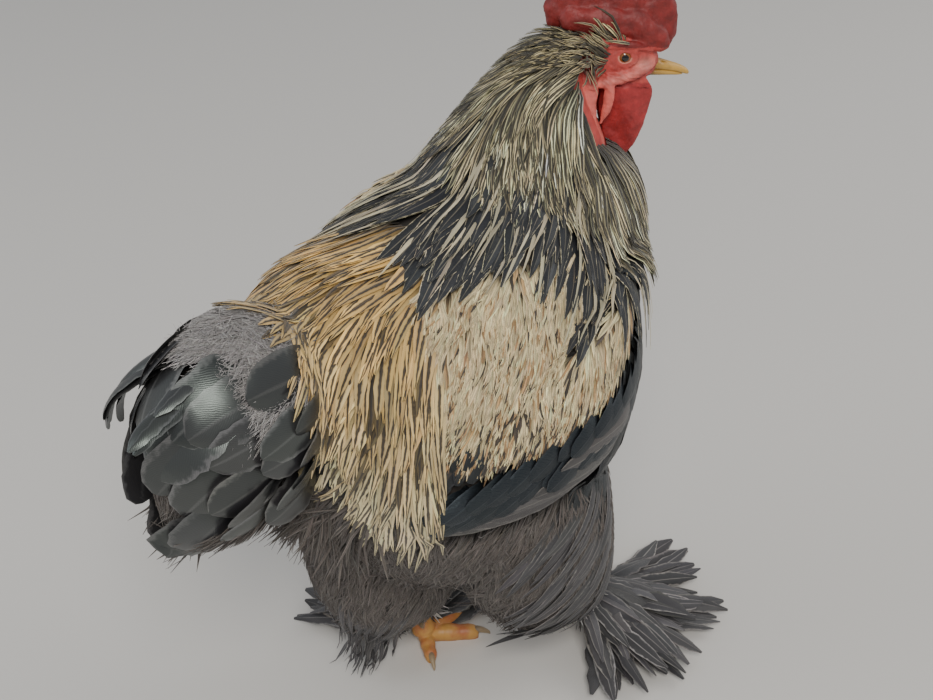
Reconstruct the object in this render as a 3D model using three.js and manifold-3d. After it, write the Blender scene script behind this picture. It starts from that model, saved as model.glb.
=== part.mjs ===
// A Brahma cock, life size, standing in mid step with its head turned to its right.
// Millimetres, +Z up. The body faces +X and its left side is +Y; the floor is at Z = 0.
import * as THREE from "three";
import { mergeVertices } from "three/addons/utils/BufferGeometryUtils.js";
import Module from "manifold-3d";

const wasm = await Module();
wasm.setup();

// Driving dimensions
const GAP = 0.35; // clearance that neighbouring solids keep
const HEAD_CENTRE = [111, -27, 608]; // middle of the skull
const HEAD_TURN = -38; // degrees that the head is turned from the body, to the right
const HEAD_DIP = -8; // degrees that the bill points below level
const TOE_HEIGHT = 9; // centre of a toe above the floor
const ANKLE_HEIGHT = 12; // where a shank meets its toes
const CLAW_LENGTH = 17;
const EYE_RADIUS = 6.2;
const VANE_THICKNESS = 1.2; // of a long feather
const VANE_ROOT = 5; // how deep a feather is rooted
const FLOOR_CLEARANCE = 3; // lowest middle of a feather
const STAGGER = 2; // every second feather of a row lies this much higher, so that neighbours overlap
const SECTIONS = 60; // sections that a form is measured by

const rad = THREE.MathUtils.degToRad;
const lerp = THREE.MathUtils.lerp;
const clamp = THREE.MathUtils.clamp;
const vec = (x, y, z) => new THREE.Vector3(x, y, z);

// A seeded draw between -1 and 1, so that feathers vary alike on each run.
let seed = 7;
function vary() {
  seed = (seed * 16807) % 2147483647;
  return (seed / 2147483647) * 2 - 1;
}

// Value of a list of numbers at t, from 0 at the first to 1 at the last, on straight lines.
function along(list, t) {
  const at = clamp(t, 0, 1) * (list.length - 1);
  const i = Math.min(Math.floor(at), list.length - 2);
  return lerp(list[i], list[i + 1], at - i);
}

// A rounded form: oval sections strung through stations of
// [x, y, z, half width, height up, height down, lean, turn], angles in degrees.
// The stations follow one another the way that the sections face.
class Form {
  constructor(stations, squareness = 2) {
    this.stations = stations;
    this.power = 2 / squareness;
    this.sections = [];
    for (let k = 0; k <= SECTIONS; k++) this.sections.push(this.section(k / SECTIONS));
  }

  // The station at t, from 0 to 1, by a Catmull-Rom curve; past the ends it goes on straight.
  station(t) {
    const last = this.stations.length - 1;
    const at = t * last;
    const i = clamp(Math.floor(at), 0, last - 1);
    const u = clamp(at - i, 0, 1);
    const rows = [i - 1, i, i + 1, i + 2].map((k) => this.stations[clamp(k, 0, last)]);
    return rows[1].map((_, k) => {
      const [a, b, c, d] = rows.map((row) => row[k]);
      const bend = (2 * a - 5 * b + 4 * c - d) * u * u + (3 * b - a - 3 * c + d) * u ** 3;
      return 0.5 * (2 * b + (c - a) * u + bend) + (at - i - u) * (c - b);
    });
  }

  section(t) {
    const [x, y, z, wide, up, down, lean, turn] = this.station(t);
    const l = rad(lean);
    const w = rad(turn);
    const forward = vec(Math.cos(w) * Math.cos(l), Math.sin(w) * Math.cos(l), Math.sin(l));
    const side = vec(-Math.sin(w), Math.cos(w), 0);
    return { centre: vec(x, y, z), forward, side, rise: forward.clone().cross(side), wide, up, down };
  }

  onSection(t, angle) {
    const { centre, side, rise, wide, up, down } = this.section(t);
    const c = Math.cos(angle);
    const s = Math.sin(angle);
    const across = Math.sign(c) * Math.abs(c) ** this.power * wide;
    const high = Math.sign(s) * Math.abs(s) ** this.power * (s > 0 ? up : down);
    return centre.addScaledVector(side, across).addScaledVector(rise, high);
  }

  normal(t, angle) {
    const lengthwise = this.onSection(t + 0.01, angle).sub(this.onSection(t - 0.01, angle));
    const round = this.onSection(t, angle + 0.03).sub(this.onSection(t, angle - 0.03));
    return round.cross(lengthwise).normalize();
  }

  // The point at t and angle, raised by lift; angle 0 is the left side and a quarter turn the top.
  at(t, angle, lift = 0) {
    return this.onSection(t, angle).addScaledVector(this.normal(t, angle), lift);
  }

  // How far a point stands out of this form, measured in the plane of its section.
  height(p) {
    const offs = this.sections.map((s) => p.clone().sub(s.centre).dot(s.forward));
    let best = null;
    for (let k = 0; k < SECTIONS; k++) {
      if (offs[k] < 0 || offs[k + 1] >= 0) continue;
      const far = p.distanceTo(this.sections[k].centre);
      if (!best || far < best.far) best = { k, far, u: offs[k] / (offs[k] - offs[k + 1]) };
    }
    if (!best && offs[0] < 0) best = { k: 0, u: 0, past: -offs[0] };
    if (!best) best = { k: SECTIONS - 1, u: 1, past: Math.max(offs[SECTIONS], 0) };
    const a = this.sections[best.k];
    const b = this.sections[best.k + 1];
    const mix = (key) => lerp(a[key], b[key], best.u);
    const from = p.clone().sub(a.centre.clone().lerp(b.centre, best.u));
    const side = a.side.clone().lerp(b.side, best.u);
    const rise = a.rise.clone().lerp(b.rise, best.u);
    const x = from.dot(side);
    const y = from.dot(rise);
    const n = 2 / this.power;
    const across = Math.abs(x / mix("wide")) ** n;
    const high = Math.abs(y / mix(y > 0 ? "up" : "down")) ** n;
    const reach = (across + high) ** (1 / n);
    const out = Math.hypot(x, y) * (1 - 1 / Math.max(reach, 1e-3));
    return best.past ? Math.hypot(Math.max(out, 0), best.past) : out;
  }

  // The way out of this form at a point, as long as the height's change over a millimetre.
  outward(p) {
    const change = (step) => (this.height(p.clone().add(step)) - this.height(p.clone().sub(step))) / 2;
    return vec(change(vec(1, 0, 0)), change(vec(0, 1, 0)), change(vec(0, 0, 1)));
  }

  // Moves a point out until it stands lift clear of this form; a clear point stays.
  clear(p, lift) {
    const moved = p.clone();
    for (let k = 0; k < 3; k++) {
      const way = this.outward(moved);
      const steep = Math.max(way.length(), 0.3);
      const short = lift - this.height(moved) / steep;
      if (short < 0.05) break;
      moved.addScaledVector(way.divideScalar(steep), Math.min(short, 40));
    }
    return moved;
  }

  geometry(rings, around, lift = 0) {
    const list = [];
    for (let i = 0; i < rings; i++) {
      const ring = [];
      for (let j = 0; j < around; j++) {
        const angle = (j / around) * 2 * Math.PI;
        ring.push(this.at(i / (rings - 1), angle, lift));
      }
      list.push(ring);
    }
    return skinOf(list);
  }
}

// A closed surface through rings of points, with a fan over each end.
function skinOf(rings) {
  const count = rings[0].length;
  const points = rings.flat();
  const faces = [];
  for (let i = 0; i < rings.length - 1; i++)
    for (let j = 0; j < count; j++) {
      const a = i * count + j;
      const b = i * count + ((j + 1) % count);
      faces.push(a, b, b + count, a, b + count, a + count);
    }
  [0, rings.length - 1].forEach((i) => {
    const middle = rings[i].reduce((sum, p) => sum.add(p), vec(0, 0, 0)).divideScalar(count);
    const hub = points.push(middle) - 1;
    for (let j = 0; j < count; j++) {
      const a = i * count + j;
      const b = i * count + ((j + 1) % count);
      faces.push(...(i ? [a, b, hub] : [b, a, hub]));
    }
  });
  return surface(points, faces);
}

function surface(points, faces) {
  const geometry = new THREE.BufferGeometry().setFromPoints(points);
  geometry.setIndex(faces);
  return geometry;
}

// A manifold-3d solid of a closed geometry, turned right side out.
function solid(geometry) {
  geometry.deleteAttribute("normal");
  geometry.deleteAttribute("uv");
  const merged = mergeVertices(geometry, 1e-4);
  const vertProperties = new Float32Array(merged.attributes.position.array);
  const build = (triVerts) => new wasm.Manifold(new wasm.Mesh({ numProp: 3, vertProperties, triVerts }));
  const made = build(new Uint32Array(merged.index.array));
  return made.volume() > 0 ? made : build(new Uint32Array(merged.index.array).reverse());
}

// The largest closed body of a solid.
function largest(made) {
  const bodies = made.decompose();
  return bodies.reduce((best, b) => (b.volume() > best.volume() ? b : best), bodies[0]);
}

const joined = (list) => wasm.Manifold.union(list);
const cutBy = (made, tools) => largest(made.subtract(joined(tools)));

// A part as its body and the room that its neighbours keep out of.
const partOf = (make) => ({ body: solid(make(0)), room: solid(make(GAP)) });
const partFrom = (form, rings, around) => ({
  form,
  ...partOf((lift) => form.geometry(rings, around, lift)),
});
const together = (list) => ({
  body: joined(list.map((p) => p.body)),
  room: joined(list.map((p) => p.room)),
});

// A feather's vane: a thin strip through points, showing the given face at each.
// Both faces are split into triangles alike.
function vane(points, faces, widths, grow) {
  const last = points.length - 1;
  const rings = points.map((p, i) => {
    const run = points[Math.min(i + 1, last)].clone().sub(points[Math.max(i - 1, 0)]).normalize();
    const side = run.clone().cross(faces[i]).normalize();
    const face = side.clone().cross(run).normalize();
    const half = along(widths, i / last) / 2 + grow;
    const depth = VANE_THICKNESS / 2 + grow;
    const middle = p.clone().addScaledVector(run, i === 0 ? -grow : i === last ? grow : 0);
    const corner = (across, high) =>
      middle.clone().addScaledVector(side, across * half).addScaledVector(face, high * depth);
    return [corner(-1, 1), corner(1, 1), corner(1, -1), corner(-1, -1)];
  });
  const list = [];
  const quad = (a, b, c, d) => list.push(a, b, c, a, c, d);
  for (let i = 0; i < last; i++) {
    const [a, b, c, d] = [0, 1, 2, 3].map((corner) => 4 * i + corner);
    quad(a, b, b + 4, a + 4);
    quad(b, c, c + 4, b + 4);
    quad(d, d + 4, c + 4, c);
    quad(a, a + 4, d + 4, d);
  }
  const far = 4 * last;
  quad(1, 0, 3, 2);
  quad(far, far + 1, far + 2, far + 3);
  return surface(rings.flat(), list);
}

// Widths of a feather from root to tip, as shares of its widest.
const LANCE = [0.5, 0.9, 1, 0.8, 0.2];
const BROAD = [0.45, 0.85, 1, 0.95, 0.45];

// A feather that leaves its root, follows a flow and lies on, or hangs clear of, the forms under it.
// The lift is its height over them from root to tip.
function feather({ root, face, flow, length, wide, over = [], lift = [2, 6], ...more }) {
  const { steps = 3, shape = LANCE, sink = VANE_ROOT } = more;
  const points = [root.clone().addScaledVector(face, -sink)];
  const faces = [face.clone()];
  let p = root.clone();
  for (let k = 1; k <= steps; k++) {
    const share = k / steps;
    p = p.clone().addScaledVector(flow(p, share).normalize(), length / steps);
    for (let pass = 0; pass < 2; pass++)
      for (const form of over) p = form.clear(p, along(lift, share));
    let up = faces[k - 1].clone();
    let least = 30; // a form farther off than this doesn't turn the vane
    for (const form of over) {
      const way = form.outward(p);
      const high = form.height(p) / Math.max(way.length(), 0.3);
      if (high < least) {
        least = high;
        up = way.normalize();
      }
    }
    p.z = Math.max(p.z, FLOOR_CLEARANCE);
    points.push(p);
    faces.push(up);
  }
  const widths = shape.map((part) => part * wide);
  return partOf((grow) => vane(points, faces, widths, grow));
}

// Colours of the bird in life.
const COLOURS = {
  hackle: 0xb9ad86,
  black: 0x2b2a2a,
  straw: 0xcdb27c,
  fluff: 0x5d5550,
  slate: 0x454649,
  comb: 0x9c2f30,
  face: 0xc4504c,
  horn: 0xc9a050,
  leg: 0x55504a,
  claw: 0x8a7a60,
  eye: 0xc07828,
};

const group = new THREE.Group();

// Adds a node made of a solid's largest body.
function node(name, made, colour, roughness = 0.7) {
  const mesh = largest(made).getMesh();
  const geometry = new THREE.BufferGeometry();
  geometry.setAttribute("position", new THREE.BufferAttribute(mesh.vertProperties, 3));
  geometry.setIndex(new THREE.BufferAttribute(mesh.triVerts, 1));
  const material = new THREE.MeshStandardMaterial({ color: colour, roughness, metalness: 0 });
  const shown = new THREE.Mesh(geometry, material);
  shown.name = name;
  group.add(shown);
}

const SIDES = [
  ["left", 1],
  ["right", -1],
];

// The torso under the long feathers, from the tail's root to the breast.
const torso = partFrom(
  new Form(
    [
      [-240, 0, 408, 8, 8, 8, 0, 0],
      [-222, 0, 400, 54, 60, 72, 0, 0],
      [-185, 0, 380, 94, 102, 142, 0, 0],
      [-130, 0, 354, 119, 142, 190, 0, 0],
      [-60, 0, 344, 131, 170, 204, 0, 0],
      [10, 0, 347, 125, 182, 180, 0, 0],
      [68, 0, 355, 100, 165, 130, 0, 0],
      [104, 0, 367, 72, 122, 86, 0, 0],
      [124, 0, 374, 43, 74, 50, 0, 0],
      [133, 0, 378, 6, 6, 6, 0, 0],
    ],
    2.2,
  ),
  13,
  20,
);

// The neck under its hackle, from the shoulders up to the back of the head.
const neckCore = partFrom(
  new Form(
    [
      [26, 8, 400, 99, 122, 106, 62, 0],
      [38, 7, 448, 94, 116, 101, 66, -4],
      [52, 0, 502, 76, 94, 78, 70, -14],
      [62, -6, 550, 55, 70, 50, 72, -26],
      [70, -10, 590, 38, 46, 22, 70, -34],
      [77, -14, 612, 23, 29, 11, 64, -38],
      [82, -17, 625, 7, 9, 4, 60, -38],
    ],
    2,
  ),
  10,
  16,
);

// The head's own frame: a point forward, to its left and up from the middle of the skull.
const headTurn = new THREE.Euler(0, rad(-HEAD_DIP), rad(HEAD_TURN), "ZYX");
const inHead = (forward, left, up) =>
  vec(forward, left, up).applyEuler(headTurn).add(vec(...HEAD_CENTRE));
const headStation = (forward, up, wide, high, low, dip = 0) => [
  ...inHead(forward, 0, up).toArray(),
  wide,
  high,
  low,
  HEAD_DIP + dip,
  HEAD_TURN,
];
const placedInHead = (geometry, forward, left, up) => {
  const turned = geometry.applyMatrix4(new THREE.Matrix4().makeRotationFromEuler(headTurn));
  return turned.translate(...inHead(forward, left, up).toArray());
};

const skull = partFrom(
  new Form(
    [
      headStation(-44, -4, 5, 5, 5),
      headStation(-36, -4, 17, 18, 20),
      headStation(-18, -2, 24, 25, 28),
      headStation(2, 0, 24, 22, 27),
      headStation(20, -2, 18, 17, 21),
      headStation(31, -5, 11.5, 12, 14),
      headStation(36, -6, 5, 5, 6),
    ],
    2.1,
  ),
  13,
  16,
);
const eyeBall = ([, side]) =>
  partOf((lift) => placedInHead(new THREE.SphereGeometry(EYE_RADIUS + lift, 12, 9), 3, side * 19, 3));
const lids = ([, side]) =>
  partOf((lift) => {
    const rim = new THREE.TorusGeometry(7, 2 + lift, 5, 14).rotateX(Math.PI / 2).scale(1.1, 1, 0.9);
    return placedInHead(rim, 3, side * 22, 3);
  });
const eyes = SIDES.map(eyeBall);
const face = together([skull, ...SIDES.map(lids)]);

// Comb: the tall middle row of the pea comb, with its knobs, between two low rows.
const combMiddle = new Form([
  headStation(-66, 30, 3, 3, 3),
  headStation(-60, 30, 8, 20, 16),
  headStation(-48, 31, 10, 27, 19),
  headStation(-34, 32, 10, 26, 20),
  headStation(-20, 33, 11, 33, 21),
  headStation(-6, 34, 11, 31, 22),
  headStation(8, 33, 11, 36, 23),
  headStation(21, 31, 11, 32, 23),
  headStation(32, 28, 10, 30, 22),
  headStation(41, 24, 8, 20, 18),
  headStation(46, 22, 3, 5, 5),
]);
const combRow = ([, side]) => {
  const at = (forward, up, wide, high, low) => [
    ...inHead(forward, side * 12, up).toArray(), wide, high, low, HEAD_DIP, HEAD_TURN,
  ];
  return new Form([
    at(-54, 25, 2, 2, 2),
    at(-48, 25, 5, 11, 9),
    at(-33, 27, 6.5, 9, 12),
    at(-18, 27, 7.5, 14, 13),
    at(-3, 27, 7.5, 11, 14),
    at(12, 25, 8, 15, 14),
    at(25, 21, 7.5, 11, 14),
    at(35, 16, 6, 9, 9),
    at(40, 13, 2, 2, 2),
  ]);
};
const comb = together([partFrom(combMiddle, 13, 10), ...SIDES.map((s) => partFrom(combRow(s), 9, 8))]);

// Beak: the upper half hooks over the lower one; the gap between them is the mouth.
const beakUpper = partFrom(
  new Form([
    headStation(22, -7, 9.5, 8.5, 5),
    headStation(33, -7.5, 9, 8.3, 4.6),
    headStation(45, -8.5, 7.4, 7.4, 4),
    headStation(55, -11, 4.8, 5.6, 3.4, -12),
    headStation(61, -14.5, 2.6, 3.2, 2.6, -26),
    headStation(64, -18, 0.8, 0.8, 0.8, -45),
  ]),
  9,
  12,
);
const beakLower = partFrom(
  new Form([
    headStation(22, -15, 8, 3.5, 5.5),
    headStation(36, -15.5, 7.2, 3.5, 5.2),
    headStation(47, -16.2, 5.4, 3, 4.2),
    headStation(55, -17.4, 3, 1.8, 2.4),
    headStation(58.5, -18.2, 0.8, 0.8, 0.8),
  ]),
  8,
  10,
);
const nostril = ([, side]) =>
  solid(placedInHead(new THREE.SphereGeometry(1.7, 6, 4).scale(1.9, 1, 0.8), 41, side * 7.6, -5));
const nostrils = SIDES.map(nostril);

// Wattles and ear lobes hang down beside the jaw.
const hung = (list) =>
  new Form(list.map(([forward, left, up, thick, front, back]) => [
    ...inHead(forward, left, up).toArray(), thick, front, back, -90 + HEAD_DIP, HEAD_TURN,
  ]));
const wattle = ([, side]) =>
  partFrom(
    hung([
      [12, side * 12, -12, 4, 11, 13],
      [14, side * 14, -26, 5, 20, 22],
      [15, side * 13, -46, 4.4, 20, 23],
      [17, side * 11, -66, 4, 16, 18],
      [18, side * 10, -84, 3.4, 10, 12],
      [19, side * 10, -95, 1, 2, 2],
    ]),
    9,
    12,
  );
const earLobe = ([, side]) =>
  partFrom(
    hung([
      [-18, side * 22, -12, 2, 4, 4],
      [-17, side * 24.5, -24, 4.5, 8, 8],
      [-16, side * 25.5, -40, 4.5, 8, 8],
      [-13, side * 24, -56, 3, 6, 6],
      [-11, side * 23, -64, 1, 1, 1],
    ]),
    7,
    10,
  );
const wattles = SIDES.map(wattle);
const earLobes = SIDES.map(earLobe);

// Wings, folded against the flanks; the left one is held a little higher and farther out.
const WING_HOLD = { left: { raise: 24, spread: 6 }, right: { raise: 0, spread: 0 } };
const wingCore = ([name, side]) => {
  const { raise, spread } = WING_HOLD[name];
  const at = (x, y, z, wide, up, down) => [
    x, side * (y + spread), z + raise, wide, up, down + raise / 2, 0, 0,
  ];
  return partFrom(
    new Form(
      [
        at(-176, 94, 318, 4, 10, 10),
        at(-166, 102, 322, 10, 26, 26),
        at(-120, 120, 332, 16, 50, 48),
        at(-60, 130, 344, 19, 72, 62),
        at(0, 127, 354, 21, 86, 74),
        at(44, 110, 368, 20, 84, 66),
        at(74, 91, 386, 16, 62, 52),
        at(92, 77, 398, 10, 34, 34),
        at(99, 70, 400, 3, 8, 8),
      ],
      2.2,
    ),
    12,
    16,
  );
};
const wingCores = SIDES.map(wingCore);

// Tail: a short broad bunch behind the rump.
const tailCore = partFrom(
  new Form([
    [-338, 0, 416, 6, 8, 10, -8, 0],
    [-325, 0, 417, 30, 44, 76, -8, 0],
    [-295, 0, 421, 50, 60, 104, -8, 0],
    [-255, 0, 424, 56, 60, 98, -4, 0],
    [-212, 0, 420, 42, 40, 60, 0, 0],
    [-200, 0, 418, 8, 8, 10, 0, 0],
  ]),
  8,
  12,
);

// Legs: each hock under the fluff, and the middle of each foot on the floor.
const LEGS = {
  left: { hip: [-70, 56, 262], hock: [-86, 36, 78], foot: [-77, 14] },
  right: { hip: [-16, -58, 262], hock: [28, -66, 84], foot: [86, -78] },
};
const thighCore = ([name]) => {
  const { hip, hock } = LEGS[name];
  const at = (share, back, wide, front, rear) => {
    const [x, y, z] = hip.map((v, k) => lerp(v, hock[k], share));
    return [x - back, y, z, wide, front, rear, -90, 0];
  };
  return partFrom(
    new Form([
      at(-0.1, 0, 20, 20, 20),
      at(0, 0, 60, 70, 84),
      at(0.35, 8, 71, 74, 88),
      at(0.7, 10, 69, 62, 84),
      at(0.96, 8, 54, 46, 68),
      at(1.1, 3, 30, 26, 40),
      at(1.16, 0, 8, 8, 8),
    ]),
    10,
    14,
  );
};
const thighCores = SIDES.map(thighCore);

// Toes of each foot: name, angle towards the midline, length and thickness.
const TOES = [
  ["inner", 38, 56, 8.5],
  ["middle", 0, 76, 9.5],
  ["outer", -36, 60, 8.5],
  ["hind", 118, 34, 7.5],
];

function toeForm(foot, heading, length, thick) {
  const [x, y] = foot;
  const c = Math.cos(heading);
  const s = Math.sin(heading);
  const turn = THREE.MathUtils.radToDeg(heading);
  const at = (share, r, rise = 0) => {
    const reach = share * length;
    return [x + c * reach, y + s * reach, TOE_HEIGHT + rise, r, r, TOE_HEIGHT + 1.5, 0, turn];
  };
  return new Form([
    at(-0.05, thick, 1),
    at(0.12, thick * 1.05),
    at(0.3, thick * 0.92, -1),
    at(0.48, thick, -1),
    at(0.66, thick * 0.84, -1.5),
    at(0.84, thick * 0.86, -1.5),
    at(0.97, thick * 0.6, -2.5),
    at(1, thick * 0.2, -3),
  ]);
}

function clawForm(foot, heading, length, thick) {
  const [x, y] = foot;
  const c = Math.cos(heading);
  const s = Math.sin(heading);
  const turn = THREE.MathUtils.radToDeg(heading);
  const at = (past, z, r, lean) => {
    const reach = length + past;
    return [x + c * reach, y + s * reach, z, r, r, r, lean, turn];
  };
  const r = thick * 0.42;
  return new Form([
    at(-7, TOE_HEIGHT + 0.5, r * 0.8, 10),
    at(-2, TOE_HEIGHT + 1, r, 0),
    at(4, TOE_HEIGHT - 0.5, r * 0.85, -20),
    at(CLAW_LENGTH * 0.6, TOE_HEIGHT - 4, r * 0.5, -38),
    at(CLAW_LENGTH - 5, 2, 0.5, -45),
  ]);
}

const floorSlab = solid(new THREE.BoxGeometry(900, 900, 40).translate(0, 0, -20));

function footParts([name, side]) {
  const { hock, foot } = LEGS[name];
  const base = vec(foot[0], foot[1], ANKLE_HEIGHT);
  const top = vec(...hock);
  const run = base.clone().sub(top);
  const lean = THREE.MathUtils.radToDeg(Math.atan2(run.z, Math.hypot(run.x, run.y)));
  const turn = THREE.MathUtils.radToDeg(Math.atan2(run.y, run.x));
  const at = (share, r) => [...top.clone().lerp(base, share).toArray(), r, r, r, lean, turn];
  const shank = partFrom(
    new Form([
      at(-0.35, 6),
      at(-0.25, 11),
      at(0, 13),
      at(0.15, 11),
      at(0.8, 10.5),
      at(0.97, 12),
      at(1.06, 5),
    ]),
    7,
    10,
  );
  const toes = [];
  const claws = [];
  TOES.forEach(([toeName, angle, length, thick]) => {
    const way = rad(-side * angle);
    toes.push(partFrom(toeForm(foot, way, length, thick), 8, 6));
    claws.push([toeName, partFrom(clawForm(foot, way, length, thick), 5, 5)]);
  });
  const whole = together([shank, ...toes]);
  const inward = vec(-0.45, -side * 0.9, 0);
  const inwardTurn = THREE.MathUtils.radToDeg(Math.atan2(inward.y, inward.x));
  const spurAt = (out, r) => {
    const [sx, sy, sz] = top.clone().lerp(base, 0.66).addScaledVector(inward, out).toArray();
    return [sx, sy, sz + out * 0.12, r, r, r, 6, inwardTurn];
  };
  const spurStations = [spurAt(5, 3), spurAt(9, 4.6), spurAt(15, 3.6), spurAt(22, 1.8), spurAt(25, 0.5)];
  const spur = partFrom(new Form(spurStations), 6, 8);
  return { body: whole.body.subtract(floorSlab), room: whole.room, claws, base, top, spur };
}
const feet = SIDES.map(footParts);

// Hackle: rows of long pointed feathers that hang round the neck and spread over the shoulders.
const HACKLE_ROWS = [
  // place along the neck, feathers, length, width, gap left at the throat
  [0.35, 11, 108, 37, 0],
  [0.53, 7, 100, 35, 35],
  [0.7, 5, 82, 28, 75],
];
const staggered = (lift, k) => lift.map((high, i) => (i ? high + STAGGER * (k % 2) : high));
const hackle = [];
HACKLE_ROWS.forEach(([t, count, length, wide, throat], row) => {
  for (let k = 0; k < count; k++) {
    const angle = rad(-90 + throat + ((k + 0.5) / count) * (360 - 2 * throat) + vary() * 5);
    hackle.push(
      feather({
        root: neckCore.form.at(t + vary() * 0.03, angle, 0.5),
        face: neckCore.form.normal(t, angle),
        flow: (p, share) => vec(-0.12, 0, -1).addScaledVector(neckCore.form.outward(p), 0.25 + 0.2 * share),
        length: length * (1 + 0.1 * vary()),
        wide,
        over: [neckCore.form, torso.form, ...wingCores.map((w) => w.form)],
        lift: staggered([1, 5 + row, 11 + row], k),
      }),
    );
  }
});

// Saddle: pointed feathers that leave the back and hang over its sides and the tail's root.
const underSaddle = [torso, tailCore, ...wingCores, ...thighCores].map((part) => part.form);
const SADDLE_ROWS = [
  // place along the torso, feathers a side, lowest root's angle, length, width
  [0.52, 3, 34, 104, 42],
  [0.41, 4, 14, 116, 42],
  [0.31, 4, 4, 124, 40],
  [0.23, 3, 4, 112, 38],
];
const saddle = [];
SIDES.forEach(([, side]) =>
  SADDLE_ROWS.forEach(([t, count, lowest, length, wide]) => {
    for (let k = 0; k < count; k++) {
      const slope = lerp(86, lowest, (k + 0.3) / count) + vary() * 3;
      const angle = rad(side > 0 ? slope : 180 - slope);
      saddle.push(
        feather({
          root: torso.form.at(t + vary() * 0.012, angle, 0.5),
          face: torso.form.normal(t, angle),
          flow: (p) => vec(-0.8, 0.16 * side, -0.1 - (0.95 * Math.abs(p.y)) / 130),
          length: length * (1 + 0.12 * vary()),
          wide,
          over: underSaddle,
          lift: staggered([1, 5, 10], k),
        }),
      );
    }
  }),
);

// Wing quills: the bar of greater coverts, the secondaries under it and the primaries behind.
const WING_ROWS = [
  // first and last place along the wing, feathers, root's angle below the middle,
  // length, width, downward pull, lift
  [0.36, 0.72, 5, 4, 58, 32, 0.75, 5.5],
  [0.28, 0.62, 4, 34, 88, 35, 0.28, 2.5],
  [0.17, 0.25, 2, 14, 62, 24, 0.2, 1.5],
];
const WING_LAYER = 1.5; // each quill lies this much over the one behind it
const wingFeathers = SIDES.map(([, side], w) =>
  WING_ROWS.flatMap(([first, last, count, below, length, wide, pull, lift]) =>
    Array.from({ length: count }, (_, k) => {
      const t = lerp(first, last, k / (count - 1)) + vary() * 0.006;
      const angle = rad(side > 0 ? -below : 180 + below);
      return feather({
        root: wingCores[w].form.at(t, angle, 0.5),
        face: wingCores[w].form.normal(t, angle),
        flow: () => vec(-1, -0.06 * side, -pull),
        length: length * (1 + 0.05 * vary()),
        wide,
        over: [wingCores[w].form, torso.form],
        lift: [1, lift + k * WING_LAYER, lift + k * WING_LAYER],
        shape: BROAD,
      });
    }),
  ),
);

// Tail: broad main feathers in a fan a side, shorter coverts over them and curved sickles on top.
const TAIL_ROWS = [
  // place along the core, feathers a side, highest and lowest root's angle, length, width, lift at the tip
  [0.62, 4, 78, -42, 106, 60, 7],
  [0.78, 3, 62, -22, 84, 52, 13],
];
const tailFeathers = SIDES.flatMap(([, side]) =>
  TAIL_ROWS.flatMap(([t, count, highest, lowest, length, wide, lift]) =>
    Array.from({ length: count }, (_, k) => {
      const slope = lerp(highest, lowest, k / (count - 1)) + vary() * 3;
      const angle = rad(side > 0 ? slope : 180 - slope);
      return feather({
        root: tailCore.form.at(t, angle, 0.5),
        face: tailCore.form.normal(t, angle),
        flow: (p, share) => vec(-1, 0.24 * side, 0.22 - share * 0.5 - (90 - slope) / 230),
        length: length * (1 + 0.08 * vary()) * (1 - (80 - slope) / 480),
        wide,
        over: [tailCore.form, torso.form],
        lift: staggered([1, lift * 0.7, lift], k),
        shape: BROAD,
      });
    }),
  ),
);
const SICKLES = [
  // root's angle, length, how far it curls out
  [76, 168, 0.8],
  [46, 142, 1.1],
];
const sickles = SIDES.flatMap(([, side]) =>
  SICKLES.map(([slope, length, curl]) => {
    const angle = rad(side > 0 ? slope : 180 - slope);
    return feather({
      root: tailCore.form.at(0.74, angle, 0.5),
      face: tailCore.form.normal(0.74, angle),
      flow: (p, share) => vec(-1, side * curl * share * share, 0.75 - 1.7 * share),
      length,
      wide: 22,
      over: [tailCore.form],
      lift: [1, 14, 18],
      steps: 4,
    });
  }),
);

// Foot feathers: tiers of long blades that fan outwards from the shank and the outer toes.
const FOOT_TIERS = [
  // feathers, first and last angle from ahead, height of the roots, how far out they start,
  // length, width, rise at the root
  [6, 0, 124, 10, 14, 118, 35, 0.02],
  [4, 16, 120, 34, 4, 108, 34, 0.1],
  [1, 66, 66, 52, 2, 84, 36, 0.1],
];
const footFeathers = SIDES.map(([name, side], f) =>
  FOOT_TIERS.flatMap(([count, first, last, high, out, length, wide, rise]) =>
    Array.from({ length: count }, (_, k) => {
      const turn = rad(lerp(first, last, count > 1 ? k / (count - 1) : 0) + vary() * 4) * side;
      const way = vec(Math.cos(turn), Math.sin(turn), 0);
      const { base, top } = feet[f];
      const root = base.clone().lerp(top, Math.max(high - base.z, 0) / (top.z - base.z));
      root.addScaledVector(way, out + 5).setZ(high);
      return feather({
        root,
        face: vec(0, 0, 1).addScaledVector(way, 0.3).normalize(),
        flow: (p, share) => way.clone().setZ(rise - (share * (high - 4)) / 70),
        length: length * (1 + 0.1 * vary()) * (1 - 0.12 * (k % 2)),
        wide,
        sink: 0,
        shape: BROAD,
      });
    }),
  ),
);

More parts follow.
